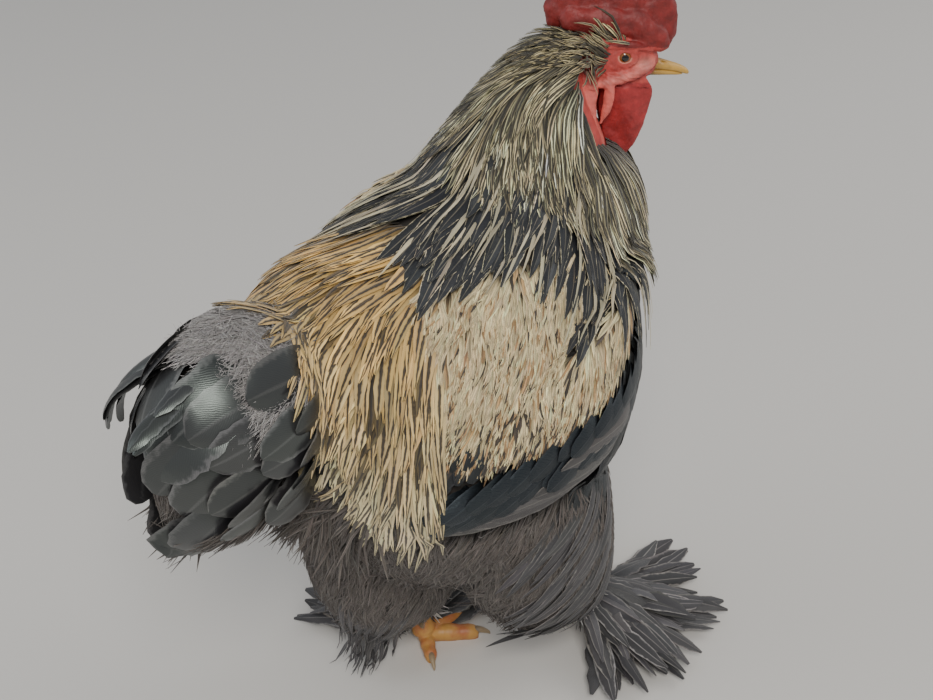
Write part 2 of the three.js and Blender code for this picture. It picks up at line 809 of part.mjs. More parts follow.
// Hock feathers: drooping blades that leave the fluff behind the left leg and beside the right one.
const HOCK_TUFTS = {
  // root's angle round the fluff, place down the leg, way it hangs, length
  left: [
    [-150, 0.66, [-0.35, -0.25, -1], 88],
    [-122, 0.7, [-0.4, -0.1, -1], 92],
    [-98, 0.66, [-0.45, 0.05, -1], 96],
    [-72, 0.7, [-0.4, 0.2, -1], 84],
  ],
  right: [
    [128, 0.44, [-0.72, 0, -0.8], 126],
    [148, 0.52, [-0.74, 0, -0.78], 120],
    [168, 0.6, [-0.76, 0, -0.76], 114],
    [-172, 0.68, [-0.78, 0, -0.7], 100],
  ],
};
const hockFeathers = SIDES.map(([name], k) =>
  HOCK_TUFTS[name].map(([angle, t, way, length], n) =>
    feather({
      root: thighCores[k].form.at(t, rad(angle), 0.5),
      face: thighCores[k].form.normal(t, rad(angle)),
      flow: (p, share) => vec(...way).addScaledVector(vec(way[0], way[1], 0), share * 0.5),
      length,
      wide: 29,
      over: name === "right" ? [thighCores[k].form] : [],
      lift: staggered([2, 6, 8], n),
    }),
  ),
);

// Neighbours keep clear of one another: of each pair that would touch, one yields to the other's room.
const rooms = (list) => list.map((p) => p.room);
const wings = SIDES.map((_, k) => together([wingCores[k], ...wingFeathers[k]]));
const tail = together([tailCore, ...tailFeathers, ...sickles]);
const neck = together([neckCore, ...hackle]);
const footCores = rooms(feet);
const hockVanes = hockFeathers.map((list) => joined(list.map((p) => p.body)).subtract(joined(footCores)));
const hockRooms = hockFeathers.map((list) => joined(rooms(list)));
const footVanes = footFeathers.map((list, k) => ({
  body: joined(list.map((p) => p.body)).subtract(floorSlab),
  claws: rooms(feet[k].claws.map(([, claw]) => claw)),
}));
const footRooms = footFeathers.map((list) => joined(rooms(list)));
const saddleVanes = joined(saddle.map((p) => p.body)).subtract(
  joined([...rooms(wings), tail.room, ...rooms(thighCores), neck.room]),
);

node("torso", torso.body.add(saddleVanes), COLOURS.black);
node("head", cutBy(face.body, rooms(eyes)), COLOURS.face);
node("comb", cutBy(comb.body, [face.room]), COLOURS.comb);
node("beak_upper", cutBy(beakUpper.body, [face.room, ...nostrils]), COLOURS.horn, 0.4);
node("beak_lower", cutBy(beakLower.body, [face.room, beakUpper.room]), COLOURS.horn, 0.4);
const aroundNeck = [torso, face, comb, ...wings, ...wattles, ...earLobes];
node("neck", cutBy(neck.body, rooms(aroundNeck)), COLOURS.hackle);
node("tail", cutBy(tail.body, [torso.room]), COLOURS.slate);
SIDES.forEach(([name], k) => {
  node(`eye_${name}`, eyes[k].body, COLOURS.eye, 0.1);
  node(`wattle_${name}`, cutBy(wattles[k].body, [face.room, beakUpper.room, beakLower.room]), COLOURS.comb);
  node(`ear_lobe_${name}`, cutBy(earLobes[k].body, [face.room, wattles[k].room]), COLOURS.comb);
  node(`wing_${name}`, cutBy(wings[k].body, [torso.room, ...rooms(thighCores)]), COLOURS.straw);
  const thigh = thighCores[k].body.add(hockVanes[k]);
  const besideThigh = [torso.room, tail.room, ...rooms(thighCores.slice(0, k))];
  node(`thigh_${name}`, cutBy(thigh, besideThigh), COLOURS.fluff);
  const foot = feet[k].body.add(footVanes[k].body.subtract(joined(footVanes[k].claws)));
  node(`foot_${name}`, cutBy(foot, [...rooms(thighCores), ...hockRooms, feet[1 - k].room]), COLOURS.leg);
  node(`spur_${name}`, cutBy(feet[k].spur.body, [feet[k].room, footRooms[k]]), COLOURS.claw);
  feet[k].claws.forEach(([toe, claw]) =>
    node(`claw_${toe}_${name}`, cutBy(claw.body, [feet[k].room]), COLOURS.claw),
  );
});

// The origin goes to the middle of the footprint of the whole bird, on the floor.
const box = new THREE.Box3().setFromObject(group);
const shift = box.getCenter(vec(0, 0, 0)).setZ(box.min.z);
group.children.forEach((mesh) => mesh.geometry.translate(-shift.x, -shift.y, -shift.z));

export default group;
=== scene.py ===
# A Brahma cock at life size, standing in mid step with its head turned to its right.
# Sizes are millimetres in the bird's own frame: it faces +X, its left is +Y, the floor is 0.
import math

import bpy
import numpy as np
from mathutils import Euler, Matrix, Vector, noise
from mathutils.bvhtree import BVHTree


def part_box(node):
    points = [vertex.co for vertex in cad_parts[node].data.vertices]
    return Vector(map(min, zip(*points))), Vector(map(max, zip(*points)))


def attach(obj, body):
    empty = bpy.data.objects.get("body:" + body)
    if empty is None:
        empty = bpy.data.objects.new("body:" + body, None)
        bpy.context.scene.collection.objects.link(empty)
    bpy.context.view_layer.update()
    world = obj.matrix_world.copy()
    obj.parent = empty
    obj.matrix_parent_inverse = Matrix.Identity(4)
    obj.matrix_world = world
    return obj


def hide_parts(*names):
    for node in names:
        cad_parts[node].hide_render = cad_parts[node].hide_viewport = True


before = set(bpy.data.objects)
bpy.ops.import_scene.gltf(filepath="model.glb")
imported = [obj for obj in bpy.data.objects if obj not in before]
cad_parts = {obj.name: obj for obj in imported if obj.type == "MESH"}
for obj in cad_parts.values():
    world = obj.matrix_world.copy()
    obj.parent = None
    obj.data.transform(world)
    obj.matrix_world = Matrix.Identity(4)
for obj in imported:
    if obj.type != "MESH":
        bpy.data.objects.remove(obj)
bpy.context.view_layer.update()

# The bird's place in the shared frame.
# The head has a frame of its own: forward, left and up from the middle of the skull.
# The right eye's ball is a solid of the frame, so its middle ties the two together.
HEAD_CENTRE = np.array([111.0, -27.0, 608.0])
HEAD_TURN = -38
HEAD_DIP = -8
EYE_PLACE = np.array([3.0, 19.0, 3.0])
head_axes = np.array(Euler((0, math.radians(-HEAD_DIP), math.radians(HEAD_TURN))).to_matrix())


def in_head(points):
    return np.asarray(points, float) @ head_axes.T + HEAD_CENTRE


eye_low, eye_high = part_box("eye_right")
eye_middle = np.array(eye_low + eye_high) * 500
shift = eye_middle - in_head(EYE_PLACE * [1, -1, 1])


def metres(points):
    return (np.asarray(points, float) + shift) / 1000


# Camera, floor and light.
# The photograph looks down on the bird from behind its right side, from about a metre and a half.
# The floor is plain and pale, and large soft lamps light it from above and both sides.
CAMERA_PLACE = (-684, -725, 1064)
CAMERA_ALONG = (0.541, 0.601, -0.588)
CAMERA_UP = (0.393, 0.437, 0.809)
FOCAL_PIXELS = 1350
PHOTO_WIDTH = 933
SENSOR = 36
FLOOR_COLOUR = (0.62, 0.6, 0.57, 1)
FLOOR_REACH = 12
LAMP_AIM = Vector((0, 0, 0.3))
SKY_COLOUR = (0.85, 0.88, 0.92, 1)
SKY_STRENGTH = 0.5


class Paint:
    """A new material, whose nodes are made, set and linked in one call each."""

    def __init__(self, name):
        self.material = bpy.data.materials.new(name)
        self.material.use_nodes = True
        self.tree = self.material.node_tree

    def feed(self, node, inputs):
        for key, value in inputs.items():
            if isinstance(value, bpy.types.NodeSocket):
                self.tree.links.new(value, node.inputs[key])
            else:
                node.inputs[key].default_value = value

    def node(self, kind, inputs, out=0, **settings):
        node = self.tree.nodes.new("ShaderNode" + kind)
        for key, value in settings.items():
            setattr(node, key, value)
        self.feed(node, inputs)
        return node.outputs[out]

    def noise(self, scale, detail=2):
        place = self.node("TexCoord", {}, "Object")
        return self.node("TexNoise", {"Vector": place, "Scale": scale, "Detail": detail})

    def kept(self, name, out="Fac"):
        """A value that the mesh keeps for each point."""
        return self.node("Attribute", {}, out, attribute_name=name)

    def sum(self, operation, *values):
        return self.node("Math", dict(enumerate(values)), operation=operation)

    def span(self, value, low, high, bottom=0.0, top=1.0, kind="SMOOTHSTEP"):
        inputs = {"Value": value, "From Min": low, "From Max": high, "To Min": bottom, "To Max": top}
        return self.node("MapRange", inputs, interpolation_type=kind)

    def mix(self, factor, first, second, blend="MIX"):
        return self.node("Mix", {0: factor, 6: first, 7: second}, 2, data_type="RGBA", blend_type=blend)

    def ramp(self, value, first, *others):
        """A colour for each value, from pairs of place and colour."""
        node = self.tree.nodes.new("ShaderNodeValToRGB")
        self.feed(node, {"Fac": value})
        stops = node.color_ramp.elements
        *between, last = others
        stops[0].position, stops[0].color = first
        stops[1].position, stops[1].color = last
        for position, colour in between:
            stops.new(position).color = colour
        return node.outputs["Color"]

    def bump(self, height, strength, distance):
        return self.node("Bump", {"Height": height, "Strength": strength, "Distance": distance})

    def finish(self, inputs):
        self.feed(self.tree.nodes["Principled BSDF"], inputs)
        return self.material


def placed(name, data):
    """A new object in the scene."""
    made = bpy.data.objects.new(name, data)
    bpy.context.scene.collection.objects.link(made)
    return made


camera_data = bpy.data.cameras.new("camera")
camera_data.sensor_width = SENSOR
camera_data.lens = FOCAL_PIXELS / PHOTO_WIDTH * SENSOR
camera_data.clip_start = 0.05
camera = placed("camera", camera_data)
back = -Vector(CAMERA_ALONG).normalized()
right = Vector(CAMERA_UP).cross(back).normalized()
up = back.cross(right)
turned = Matrix((right, up, back)).transposed()
camera.matrix_world = Matrix.Translation(metres(CAMERA_PLACE)) @ turned.to_4x4()
bpy.context.scene.camera = camera

floor_mesh = bpy.data.meshes.new("floor")
floor_corners = [(x * FLOOR_REACH, y * FLOOR_REACH, 0) for x, y in ((-1, -1), (1, -1), (1, 1), (-1, 1))]
floor_mesh.from_pydata(floor_corners, [], [(0, 1, 2, 3)])
floor_mesh.materials.append(Paint("floor").finish({"Base Color": FLOOR_COLOUR, "Roughness": 0.9}))
placed("floor", floor_mesh)


def lamp(name, place, energy, size, colour):
    data = bpy.data.lights.new(name, "AREA")
    data.energy = energy
    data.size = size
    data.color = colour
    light = placed(name, data)
    light.location = place
    light.rotation_euler = (LAMP_AIM - Vector(place)).to_track_quat("-Z", "Y").to_euler()


lamp("key", (-1.2, -1.6, 2.6), 62, 1.1, (1, 0.96, 0.9))
lamp("fill", (-2.2, 1.6, 1.7), 22, 1.8, (0.92, 0.96, 1))
lamp("front", (2.4, -0.6, 1.8), 24, 1.8, (1, 0.98, 0.95))
world = bpy.data.worlds.new("studio")
bpy.context.scene.world = world
world.use_nodes = True
sky = world.node_tree.nodes["Background"].inputs
sky["Color"].default_value = SKY_COLOUR
sky["Strength"].default_value = SKY_STRENGTH

# The body under the feathers.
# Skin over flesh: the rounded forms of torso, neck, wings, tail and thighs run into one another.
# One surface is drawn over them all; the feathers are rooted in it and lie over it.
SIDE_NAMES = {1: "left", -1: "right"}
SECTIONS = 61
BODY_VOXEL = 0.0045
END_REACH = 8


class Form:
    """Oval sections strung through stations of x, y, z, half width, height up and down, lean and turn."""

    def __init__(self, stations, squareness=2.0):
        self.stations = np.array([list(row) + [0] * (8 - len(row)) for row in stations], float)
        self.power = 2 / squareness
        self.ts = np.linspace(0, 1, SECTIONS)
        self.drawn = self.section(self.ts)

    def station(self, t):
        last = len(self.stations) - 1
        at = np.asarray(t, float) * last
        i = np.clip(np.floor(at).astype(int), 0, last - 1)
        u = np.clip(at - i, 0, 1)
        past = (at - i - u)[..., None]
        a, b, c, d = (self.stations[np.clip(i + k, 0, last)] for k in (-1, 0, 1, 2))
        u = u[..., None]
        bend = (2 * a - 5 * b + 4 * c - d) * u**2 + (3 * b - a - 3 * c + d) * u**3
        return b + 0.5 * ((c - a) * u + bend) + past * (c - b)

    def section(self, t):
        row = self.station(t)
        lean, turn = np.radians(row[..., 6]), np.radians(row[..., 7])
        forward = np.stack([np.cos(turn) * np.cos(lean), np.sin(turn) * np.cos(lean), np.sin(lean)], -1)
        side = np.stack([-np.sin(turn), np.cos(turn), 0 * turn], -1)
        return row[..., :3], forward, side, np.cross(forward, side), row[..., 3], row[..., 4], row[..., 5]

    def on(self, t, angle):
        centre, _, side, rise, wide, high, low = self.section(t)
        c, s = np.cos(angle), np.sin(angle)
        across = np.sign(c) * np.abs(c) ** self.power * wide
        height = np.sign(s) * np.abs(s) ** self.power * np.where(s > 0, high, low)
        return centre + side * across[..., None] + rise * height[..., None]

    def normal(self, t, angle):
        lengthwise = self.on(t + 0.01, angle) - self.on(t - 0.01, angle)
        around = self.on(t, angle + 0.03) - self.on(t, angle - 0.03)
        return unit(np.cross(around, lengthwise))

    def shell(self, rings, around):
        turns = np.arange(around) / around * 2 * np.pi
        t, angle = np.meshgrid(np.linspace(0, 1, rings), turns, indexing="ij")
        return loft(self.on(t, angle))

    def place(self, points):
        """How far along and round the form each point is, and how far it stands out of it."""
        centre, forward, side, rise, wide, high, low = self.drawn
        away = points[:, None] - centre[None]
        off = np.abs((away * forward).sum(-1)) + 0.02 * np.linalg.norm(away, axis=-1)
        k = off.argmin(1)
        away = points - centre[k]
        x, y = (away * side[k]).sum(-1), (away * rise[k]).sum(-1)
        tall = np.where(y > 0, high[k], low[k])
        power = 2 / self.power
        share = (np.abs(x / wide[k]) ** power + np.abs(y / tall) ** power) ** (1 / power)
        out = np.hypot(x, y) * (1 - 1 / np.maximum(share, 1e-3))
        past = np.abs((away * forward[k]).sum(-1))
        out = np.where(past > END_REACH, np.hypot(np.maximum(out, 0), past), out)
        return self.ts[k], np.arctan2(y / tall, x / wide[k]), out


def unit(vectors):
    return vectors / np.maximum(np.linalg.norm(vectors, axis=-1, keepdims=True), 1e-9)


def loft(rings):
    """Points and faces of a closed surface through rings of points, with a fan over each end."""
    count, around = rings.shape[:2]
    points = rings.reshape(-1, 3)
    i, j = np.meshgrid(np.arange(count - 1), np.arange(around), indexing="ij")
    a, b = i * around + j, i * around + (j + 1) % around
    faces = np.stack([a, b, b + around, a + around], -1).reshape(-1, 4).tolist()
    hubs = [points[:around].mean(0), points[-around:].mean(0)]
    first, last = len(points), (count - 1) * around
    for j in range(around):
        faces.append([(j + 1) % around, j, first])
        faces.append([last + j, last + (j + 1) % around, first + 1])
    return np.concatenate([points, hubs]), faces


def together(shells):
    points, faces = [], []
    for shell_points, shell_faces in shells:
        start = sum(len(p) for p in points)
        points.append(shell_points)
        faces += [[start + corner for corner in face] for face in shell_faces]
    return np.concatenate(points), faces


def piece_of(name, points, faces):
    mesh = bpy.data.meshes.new(name)
    mesh.from_pydata(metres(points).tolist(), [], faces)
    mesh.update()
    return placed(name, mesh)


def settle(made):
    """Turns an object's live modifiers into plain mesh."""
    drawn = made.evaluated_get(bpy.context.evaluated_depsgraph_get())
    mesh = bpy.data.meshes.new_from_object(drawn)
    old = made.data
    made.modifiers.clear()
    made.data = mesh
    bpy.data.meshes.remove(old)
    mesh.name = made.name
    return made


def remeshed(name, shells, voxel, smoothing=0):
    made = piece_of(name, *together(shells))
    cover = made.modifiers.new("cover", "REMESH")
    cover.mode = "VOXEL"
    cover.voxel_size = voxel
    if smoothing:
        soft = made.modifiers.new("soft", "SMOOTH")
        soft.factor = 0.5
        soft.iterations = smoothing
    return settle(made)


def triples(items, field):
    flat = np.empty(len(items) * 3, np.float32)
    items.foreach_get(field, flat)
    return flat.reshape(-1, 3).astype(float)


def corners_of(mesh):
    return triples(mesh.vertices, "co")


def bird_points(mesh):
    """A mesh's points in the bird's own frame."""
    return corners_of(mesh) * 1000 - shift


def normals_of(mesh):
    return triples(mesh.vertex_normals, "vector")


def move_corners(mesh, corners):
    mesh.vertices.foreach_set("co", corners.astype(np.float32).ravel())
    mesh.update()


def store(mesh, name, kind, values):
    """Keeps a value for each point of a mesh under a name."""
    field = {"FLOAT": "value", "FLOAT_VECTOR": "vector", "FLOAT_COLOR": "color"}[kind]
    mesh.attributes.new(name, kind, "POINT").data.foreach_set(field, values.astype(np.float32).ravel())


torso = Form(
    [
        (-240, 0, 408, 8, 8, 8),
        (-222, 0, 400, 54, 60, 72),
        (-185, 0, 380, 94, 102, 142),
        (-130, 0, 354, 119, 142, 190),
        (-60, 0, 344, 131, 170, 204),
        (10, 0, 347, 125, 182, 180),
        (68, 0, 355, 100, 165, 130),
        (104, 0, 367, 72, 122, 86),
        (124, 0, 374, 43, 74, 50),
        (133, 0, 378, 6, 6, 6),
    ],
    2.2,
)
neck = Form(
    [
        (26, 8, 400, 99, 122, 106, 62, 0),
        (38, 7, 448, 94, 116, 101, 66, -4),
        (52, 0, 502, 76, 94, 78, 70, -14),
        (62, -6, 550, 55, 70, 50, 72, -26),
        (70, -10, 590, 38, 46, 22, 70, -34),
        (77, -14, 612, 23, 29, 11, 64, -38),
        (82, -17, 625, 7, 9, 4, 60, -38),
    ]
)
WING_HOLD = {1: (24, 6), -1: (0, 0)}


def wing_form(side):
    raised, spread = WING_HOLD[side]
    rows = [
        (-176, 94, 318, 4, 10, 10),
        (-166, 102, 322, 10, 26, 26),
        (-120, 120, 332, 16, 50, 48),
        (-60, 130, 344, 19, 72, 62),
        (0, 127, 354, 21, 86, 74),
        (44, 110, 368, 20, 84, 66),
        (74, 91, 386, 16, 62, 52),
        (92, 77, 398, 10, 34, 34),
        (99, 70, 400, 3, 8, 8),
    ]
    held = [(x, side * (y + spread), z + raised, wide, high, low + raised / 2)
            for x, y, z, wide, high, low in rows]
    return Form(held, 2.2)


tail = Form(
    [
        (-338, 0, 416, 6, 8, 10, -8),
        (-325, 0, 417, 30, 36, 74, -8),
        (-295, 0, 421, 48, 52, 100, -8),
        (-255, 0, 424, 54, 56, 96, -4),
        (-212, 0, 420, 42, 40, 60),
        (-200, 0, 418, 8, 8, 10),
    ]
)
LEGS = {
    1: {"hip": (-70, 56, 262), "hock": (-86, 36, 78), "foot": (-77, 14)},
    -1: {"hip": (-16, -58, 262), "hock": (28, -66, 84), "foot": (86, -78)},
}


def thigh_form(side):
    hip, hock = np.array(LEGS[side]["hip"]), np.array(LEGS[side]["hock"])
    rows = [
        (-0.1, 0, 20, 20, 20),
        (0, 0, 60, 70, 84),
        (0.35, 8, 71, 74, 88),
        (0.7, 10, 69, 62, 84),
        (0.96, 8, 54, 46, 68),
        (1.1, 3, 30, 26, 40),
        (1.16, 0, 8, 8, 8),
    ]
    held = [(*(hip + (hock - hip) * share - [behind, 0, 0]), wide, front, rear, -90)
            for share, behind, wide, front, rear in rows]
    return Form(held)


def head_stations(rows):
    """Stations of forward, left, up, half width, height up, height down and dip, set in the head's frame."""
    full = [list(row) + [0] * (7 - len(row)) for row in rows]
    return [(*in_head(row[:3]), *row[3:6], HEAD_DIP + row[6], HEAD_TURN) for row in full]


SKULL_ROWS = [
    (-44, 0, -4, 5, 5, 5),
    (-36, 0, -4, 17, 18, 20),
    (-18, 0, -2, 24, 25, 28),
    (2, 0, 0, 24, 22, 27),
    (20, 0, -2, 18, 17, 21),
    (31, 0, -5, 11.5, 12, 14),
    (36, 0, -6, 5, 5, 6),
]
skull = Form(head_stations(SKULL_ROWS), 2.1)
wings = {side: wing_form(side) for side in (1, -1)}
thighs = {side: thigh_form(side) for side in (1, -1)}
body_forms = [torso, neck, wings[1], wings[-1], tail, thighs[1], thighs[-1]]
skin = remeshed("skin", [form.shell(48, 48) for form in [*body_forms, skull]], BODY_VOXEL, 3)

# The bed of the feathers.
# Feathers bridge the hollows between neck, wings and body, so they lie on this surface with them filled.
# The flesh itself is then drawn in under the coat. The bed is no piece, and it is taken away at the end.
COAT_DEPTH = 4
BED_SMOOTHING = 60
bed = skin.copy()
bed.data = skin.data.copy()
bed.name = bed.data.name = "bed"
bpy.context.scene.collection.objects.link(bed)
even = bed.modifiers.new("even", "SMOOTH")
even.factor = 0.5
even.iterations = BED_SMOOTHING
settle(bed)
flesh = BVHTree.FromObject(skin, bpy.context.evaluated_depsgraph_get())
filled = corners_of(bed.data)
for k, point in enumerate(filled.tolist()):
    spot, out, _, _ = flesh.find_nearest(point)
    if (Vector(point) - spot).dot(out) < 0:
        filled[k] = spot
move_corners(bed.data, filled)
guide = BVHTree.FromObject(bed, bpy.context.evaluated_depsgraph_get())
move_corners(skin.data, corners_of(skin.data) - normals_of(skin.data) * COAT_DEPTH / 1000)


def nearest(points):
    """The spot of the bed nearest each point, and the way out of it there."""
    spots, outs = np.empty_like(points), np.empty_like(points)
    for k, point in enumerate(metres(points).tolist()):
        spot, out, _, _ = guide.find_nearest(point)
        spots[k], outs[k] = spot, out
    return spots * 1000 - shift, outs


def part_of(points):
    """Which of the body's forms each point of the bed belongs to."""
    return np.abs(np.stack([form.place(points)[2] for form in body_forms])).argmin(0)


TORSO, NECK, LEFT_WING, RIGHT_WING, TAIL, LEFT_THIGH, RIGHT_THIGH = range(7)

# Head, comb and wattles.
# Bare red skin covers the face and hangs in two wattles and in two folded lobes.
# The comb is a pea comb, three rows of soft, finely pimpled flesh. All of it is one skin.
HEAD_VOXEL = 0.00096
COMB_MIDDLE = [
    (-66, 0, 30, 3, 3, 3),
    (-60, 0, 30, 8, 20, 16),
    (-48, 0, 31, 10, 27, 19),
    (-34, 0, 32, 10, 26, 20),
    (-20, 0, 33, 11, 33, 21),
    (-6, 0, 34, 11, 31, 22),
    (8, 0, 33, 11, 36, 23),
    (21, 0, 31, 11, 32, 23),
    (32, 0, 28, 10, 30, 22),
    (41, 0, 24, 8, 20, 18),
    (46, 0, 22, 3, 5, 5),
]
COMB_SIDE = [
    (-54, 10, 25, 2, 2, 2),
    (-48, 10, 25, 5, 11, 9),
    (-33, 10, 27, 6.5, 9, 12),
    (-18, 10, 27, 7.5, 14, 13),
    (-3, 10, 27, 7.5, 11, 14),
    (12, 10.5, 25, 8, 15, 14),
    (25, 11, 21, 7.5, 11, 14),
    (35, 11, 16, 6, 9, 9),
    (40, 11, 13, 2, 2, 2),
]
WATTLE = [
    (12, 12, -12, 4, 11, 13, -90),
    (14, 14, -26, 5, 20, 22, -90),
    (15, 13, -46, 4.4, 20, 23, -90),
    (17, 11, -66, 4, 16, 18, -90),
    (18, 10, -84, 3.4, 10, 12, -90),
    (19, 10, -95, 1, 2, 2, -90),
]
EAR_LOBES = [
    [
        (-24, 25, -8, 2, 4, 5, -90),
        (-23, 29, -22, 4.4, 7.5, 9, -90),
        (-21, 31, -38, 4.4, 7.5, 9, -90),
        (-17, 30, -54, 3.4, 6, 7, -90),
        (-13, 27, -65, 1, 1, 1, -90),
    ],
    [
        (-7, 24, -12, 2, 3, 3, -90),
        (-4.5, 26.5, -24, 3, 4, 4.4, -90),
        (-3.5, 27, -42, 2.8, 3.8, 4.2, -90),
        (-6, 25, -57, 1, 1, 1, -90),
    ],
]
CHEEK = [(31, 12, -3, 2), (22, 17.5, -8, 4.4), (8, 21.5, -13, 5.6), (-8, 23, -19, 5.6), (-20, 22, -26, 3)]
BROW = [(26, 13, 8, 2), (16, 19, 12, 3.2), (3, 21.5, 13.5, 3.6), (-10, 21.5, 11, 3), (-18, 21, 6, 1.5)]
SOCKET_REACH = 4.4
SOCKET_DEPTH = 5
LID = (5.7, 2)
LID_FOLD = (9.2, 1.5)
LID_CREAM = (0.8, 0.5, 0.36)
# The comb's red is darker than the comb's own colour: painted shade, as for a comb standing in shade.
COMB_SHADED_RED = (0.2, 0.018, 0.016)
WATTLE_RED = (0.36, 0.03, 0.03)
LOBE_RED = (0.72, 0.15, 0.12)
FACE_RED = (0.46, 0.06, 0.05)
# A paler pink painted as highlight, where light catches the face.
FACE_HIGHLIGHT_PINK = (0.72, 0.26, 0.21)
SKIN_GREY = (0.05, 0.045, 0.04)


def mirrored(rows, side):
    return [(row[0], row[1] * side, *row[2:]) for row in rows]


def cord(rows, rings=24, around=14):
    """A closed roll of flesh through points of the head's frame, with a radius at each."""
    rows = np.array(rows, float)
    share = np.linspace(0, 1, rings)
    spots = np.linspace(0, 1, len(rows))
    line = in_head(np.stack([np.interp(share, spots, rows[:, k]) for k in range(3)], -1))
    for _ in range(3):
        line[1:-1] = (line[:-2] + 2 * line[1:-1] + line[2:]) / 4
    size = np.interp(share, spots, rows[:, 3])
    run = unit(np.gradient(line, axis=0))
    side = unit(np.cross(run, [0, 0, 1]))
    rise = np.cross(side, run)
    angle = np.arange(around) / around * 2 * np.pi
    ring = np.cos(angle)[None, :, None] * side[:, None] + np.sin(angle)[None, :, None] * rise[:, None]
    return loft((line[:, None] + ring * size[:, None, None])[:, ::-1])


def lid_ring(side, reach, thick, tall=0.88, around=48, across=12):
    """A ring of skin round an eye, as points and faces."""
    turn, spin = np.meshgrid(np.arange(around) / around * 2 * np.pi, np.arange(across) / across * 2 * np.pi,
                             indexing="ij")
    wide = reach + thick * np.cos(spin)
    points = np.stack([
        EYE_PLACE[0] + wide * np.cos(turn) * 1.12,
        side * (EYE_PLACE[1] + 3 + thick * np.sin(spin) - 0.006 * (wide * np.cos(turn)) ** 2),
        EYE_PLACE[2] + wide * np.sin(turn) * tall,
    ], -1)
    i, j = np.meshgrid(np.arange(around), np.arange(across), indexing="ij")
    ahead, next_one = (i + 1) % around, (j + 1) % across
    here, there = i * across, ahead * across
    faces = np.stack([here + j, there + j, there + next_one, here + next_one], -1).reshape(-1, 4)
    return in_head(points.reshape(-1, 3)), (faces if side < 0 else faces[:, ::-1]).tolist()


def of_head(points):
    """Points of the bird's frame in the head's own frame."""
    return (points - HEAD_CENTRE) @ head_axes


def head_shells():
    shells = [skull.shell(48, 48), Form(head_stations(COMB_MIDDLE)).shell(70, 32)]
    for side in (1, -1):
        shells.append(Form(head_stations(mirrored(COMB_SIDE, side))).shell(60, 28))
        shells.append(Form(head_stations(mirrored(WATTLE, side)), 2.2).shell(50, 40))
        shells += [Form(head_stations(mirrored(lobe, side))).shell(36, 28) for lobe in EAR_LOBES]
        shells.append(cord(mirrored(CHEEK, side)))
        shells.append(cord(mirrored(BROW, side)))
        shells.append(lid_ring(side, *LID))
        shells.append(lid_ring(side, *LID_FOLD))
    return shells


def pimples(points, size, seed):
    """Rounded bumps of one size, from 0 in the creases to 1 on the crowns."""
    deep = np.array([noise.voronoi(Vector(point) / size + Vector((seed, 0, 0)))[0][0] for point in points])
    return 1 - np.clip(deep * 1.5, 0, 1) ** 2


def ripples(points, size, seed):
    return np.array([noise.noise(Vector(point) / size + Vector((0, seed, 0))) for point in points])


head = remeshed("head_flesh", head_shells(), HEAD_VOXEL, 2)
spots = bird_points(head.data)
own = of_head(spots)
ahead, aside, above = own.T
outward = normals_of(head.data)
beyond = skull.place(spots)[2]
on_comb = (above > 10) & (beyond > 1.2)
hanging = (above < -24) & (beyond > 1)
depth = np.where(on_comb, 0.34, np.where(hanging, 0.3, 0.42)) * (pimples(own, 3.1, 3) - 0.5)
depth += np.where(on_comb, 1.5, 0.8) * ripples(own, 9, 5)
folds = np.sin((above + 0.35 * ahead + 5 * ripples(own, 14, 9)) * 2 * np.pi / 4.6)
cheek_share = np.clip(1 - np.abs(above + 14) / 14, 0, 1) * (np.abs(ahead - 6) < 26)
depth += 0.4 * folds * cheek_share
wave = np.sin(ahead / 7 + above / 11)
spots = spots + outward * depth[:, None]
spots += head_axes[:, 1] * (np.where(hanging, 1.6, 0) * wave)[:, None]
from_eye = np.hypot((ahead - EYE_PLACE[0]) / 1.1, above - EYE_PLACE[2])
socket = (from_eye < SOCKET_REACH) & (np.abs(aside) > 12) & (above < 14)
sunk = SOCKET_DEPTH * (1 - (from_eye[socket] / SOCKET_REACH) ** 4)
spots[socket] -= head_axes[:, 1] * (np.sign(aside[socket]) * sunk)[:, None]
move_corners(head.data, metres(spots))

joined = skin.modifiers.new("head", "BOOLEAN")
joined.operation = "UNION"
joined.solver = "MANIFOLD"
joined.object = head
settle(skin)
bpy.data.objects.remove(head)

# The skin is deep red on the comb, darkened further with painted shade, brighter on the wattles and the
# face, with a band of painted highlight in paler pink across the face, and grey under the feathers.
spots = bird_points(skin.data)
own = of_head(spots)
ahead, aside, above = own.T
beyond = np.full(len(spots), 99.0)
near_head = (np.abs(ahead) < 90) & (np.abs(aside) < 50) & (above > -110)
beyond[near_head] = skull.place(spots[near_head])[2]
shade = np.tile(SKIN_GREY, (len(spots), 1))
face_share = np.clip((ahead + 42) / 8, 0, 1) * near_head * (above < 40)
face_share = np.where((above < -14) & (beyond < 1) & (ahead < -38), 0, face_share)[:, None]
shade = shade * (1 - face_share) + np.array(FACE_RED) * face_share
# A band of paler pink below the eye and along the cheek fold is painted highlight on the face.
highlight = np.exp(-((above + 3) / 5) ** 2 - ((ahead - 22) / 9) ** 2)
fold_highlight = np.exp(-((above + 12 - 0.42 * (ahead - 8)) / 4) ** 2) * (np.abs(ahead - 4) < 26)
highlight = np.maximum(highlight, 0.45 * fold_highlight)[:, None] * face_share
shade = shade * (1 - highlight) + np.array(FACE_HIGHLIGHT_PINK) * highlight
lid = np.abs(np.hypot((ahead - EYE_PLACE[0]) / 1.12, (above - EYE_PLACE[2]) / 0.88) - LID[0] + 1.2)
lid_share = np.clip(1.4 - lid / 0.9, 0, 1)[:, None] * face_share
lid_share = lid_share * (np.abs(own[:, 1:2]) > 20) * (own[:, 2:] < 4)
shade = shade * (1 - 0.5 * lid_share) + np.array(LID_CREAM) * 0.5 * lid_share
flap = near_head & (above < -20) & (beyond > 0.8) & (ahead > -34) & (np.abs(aside) < 36)
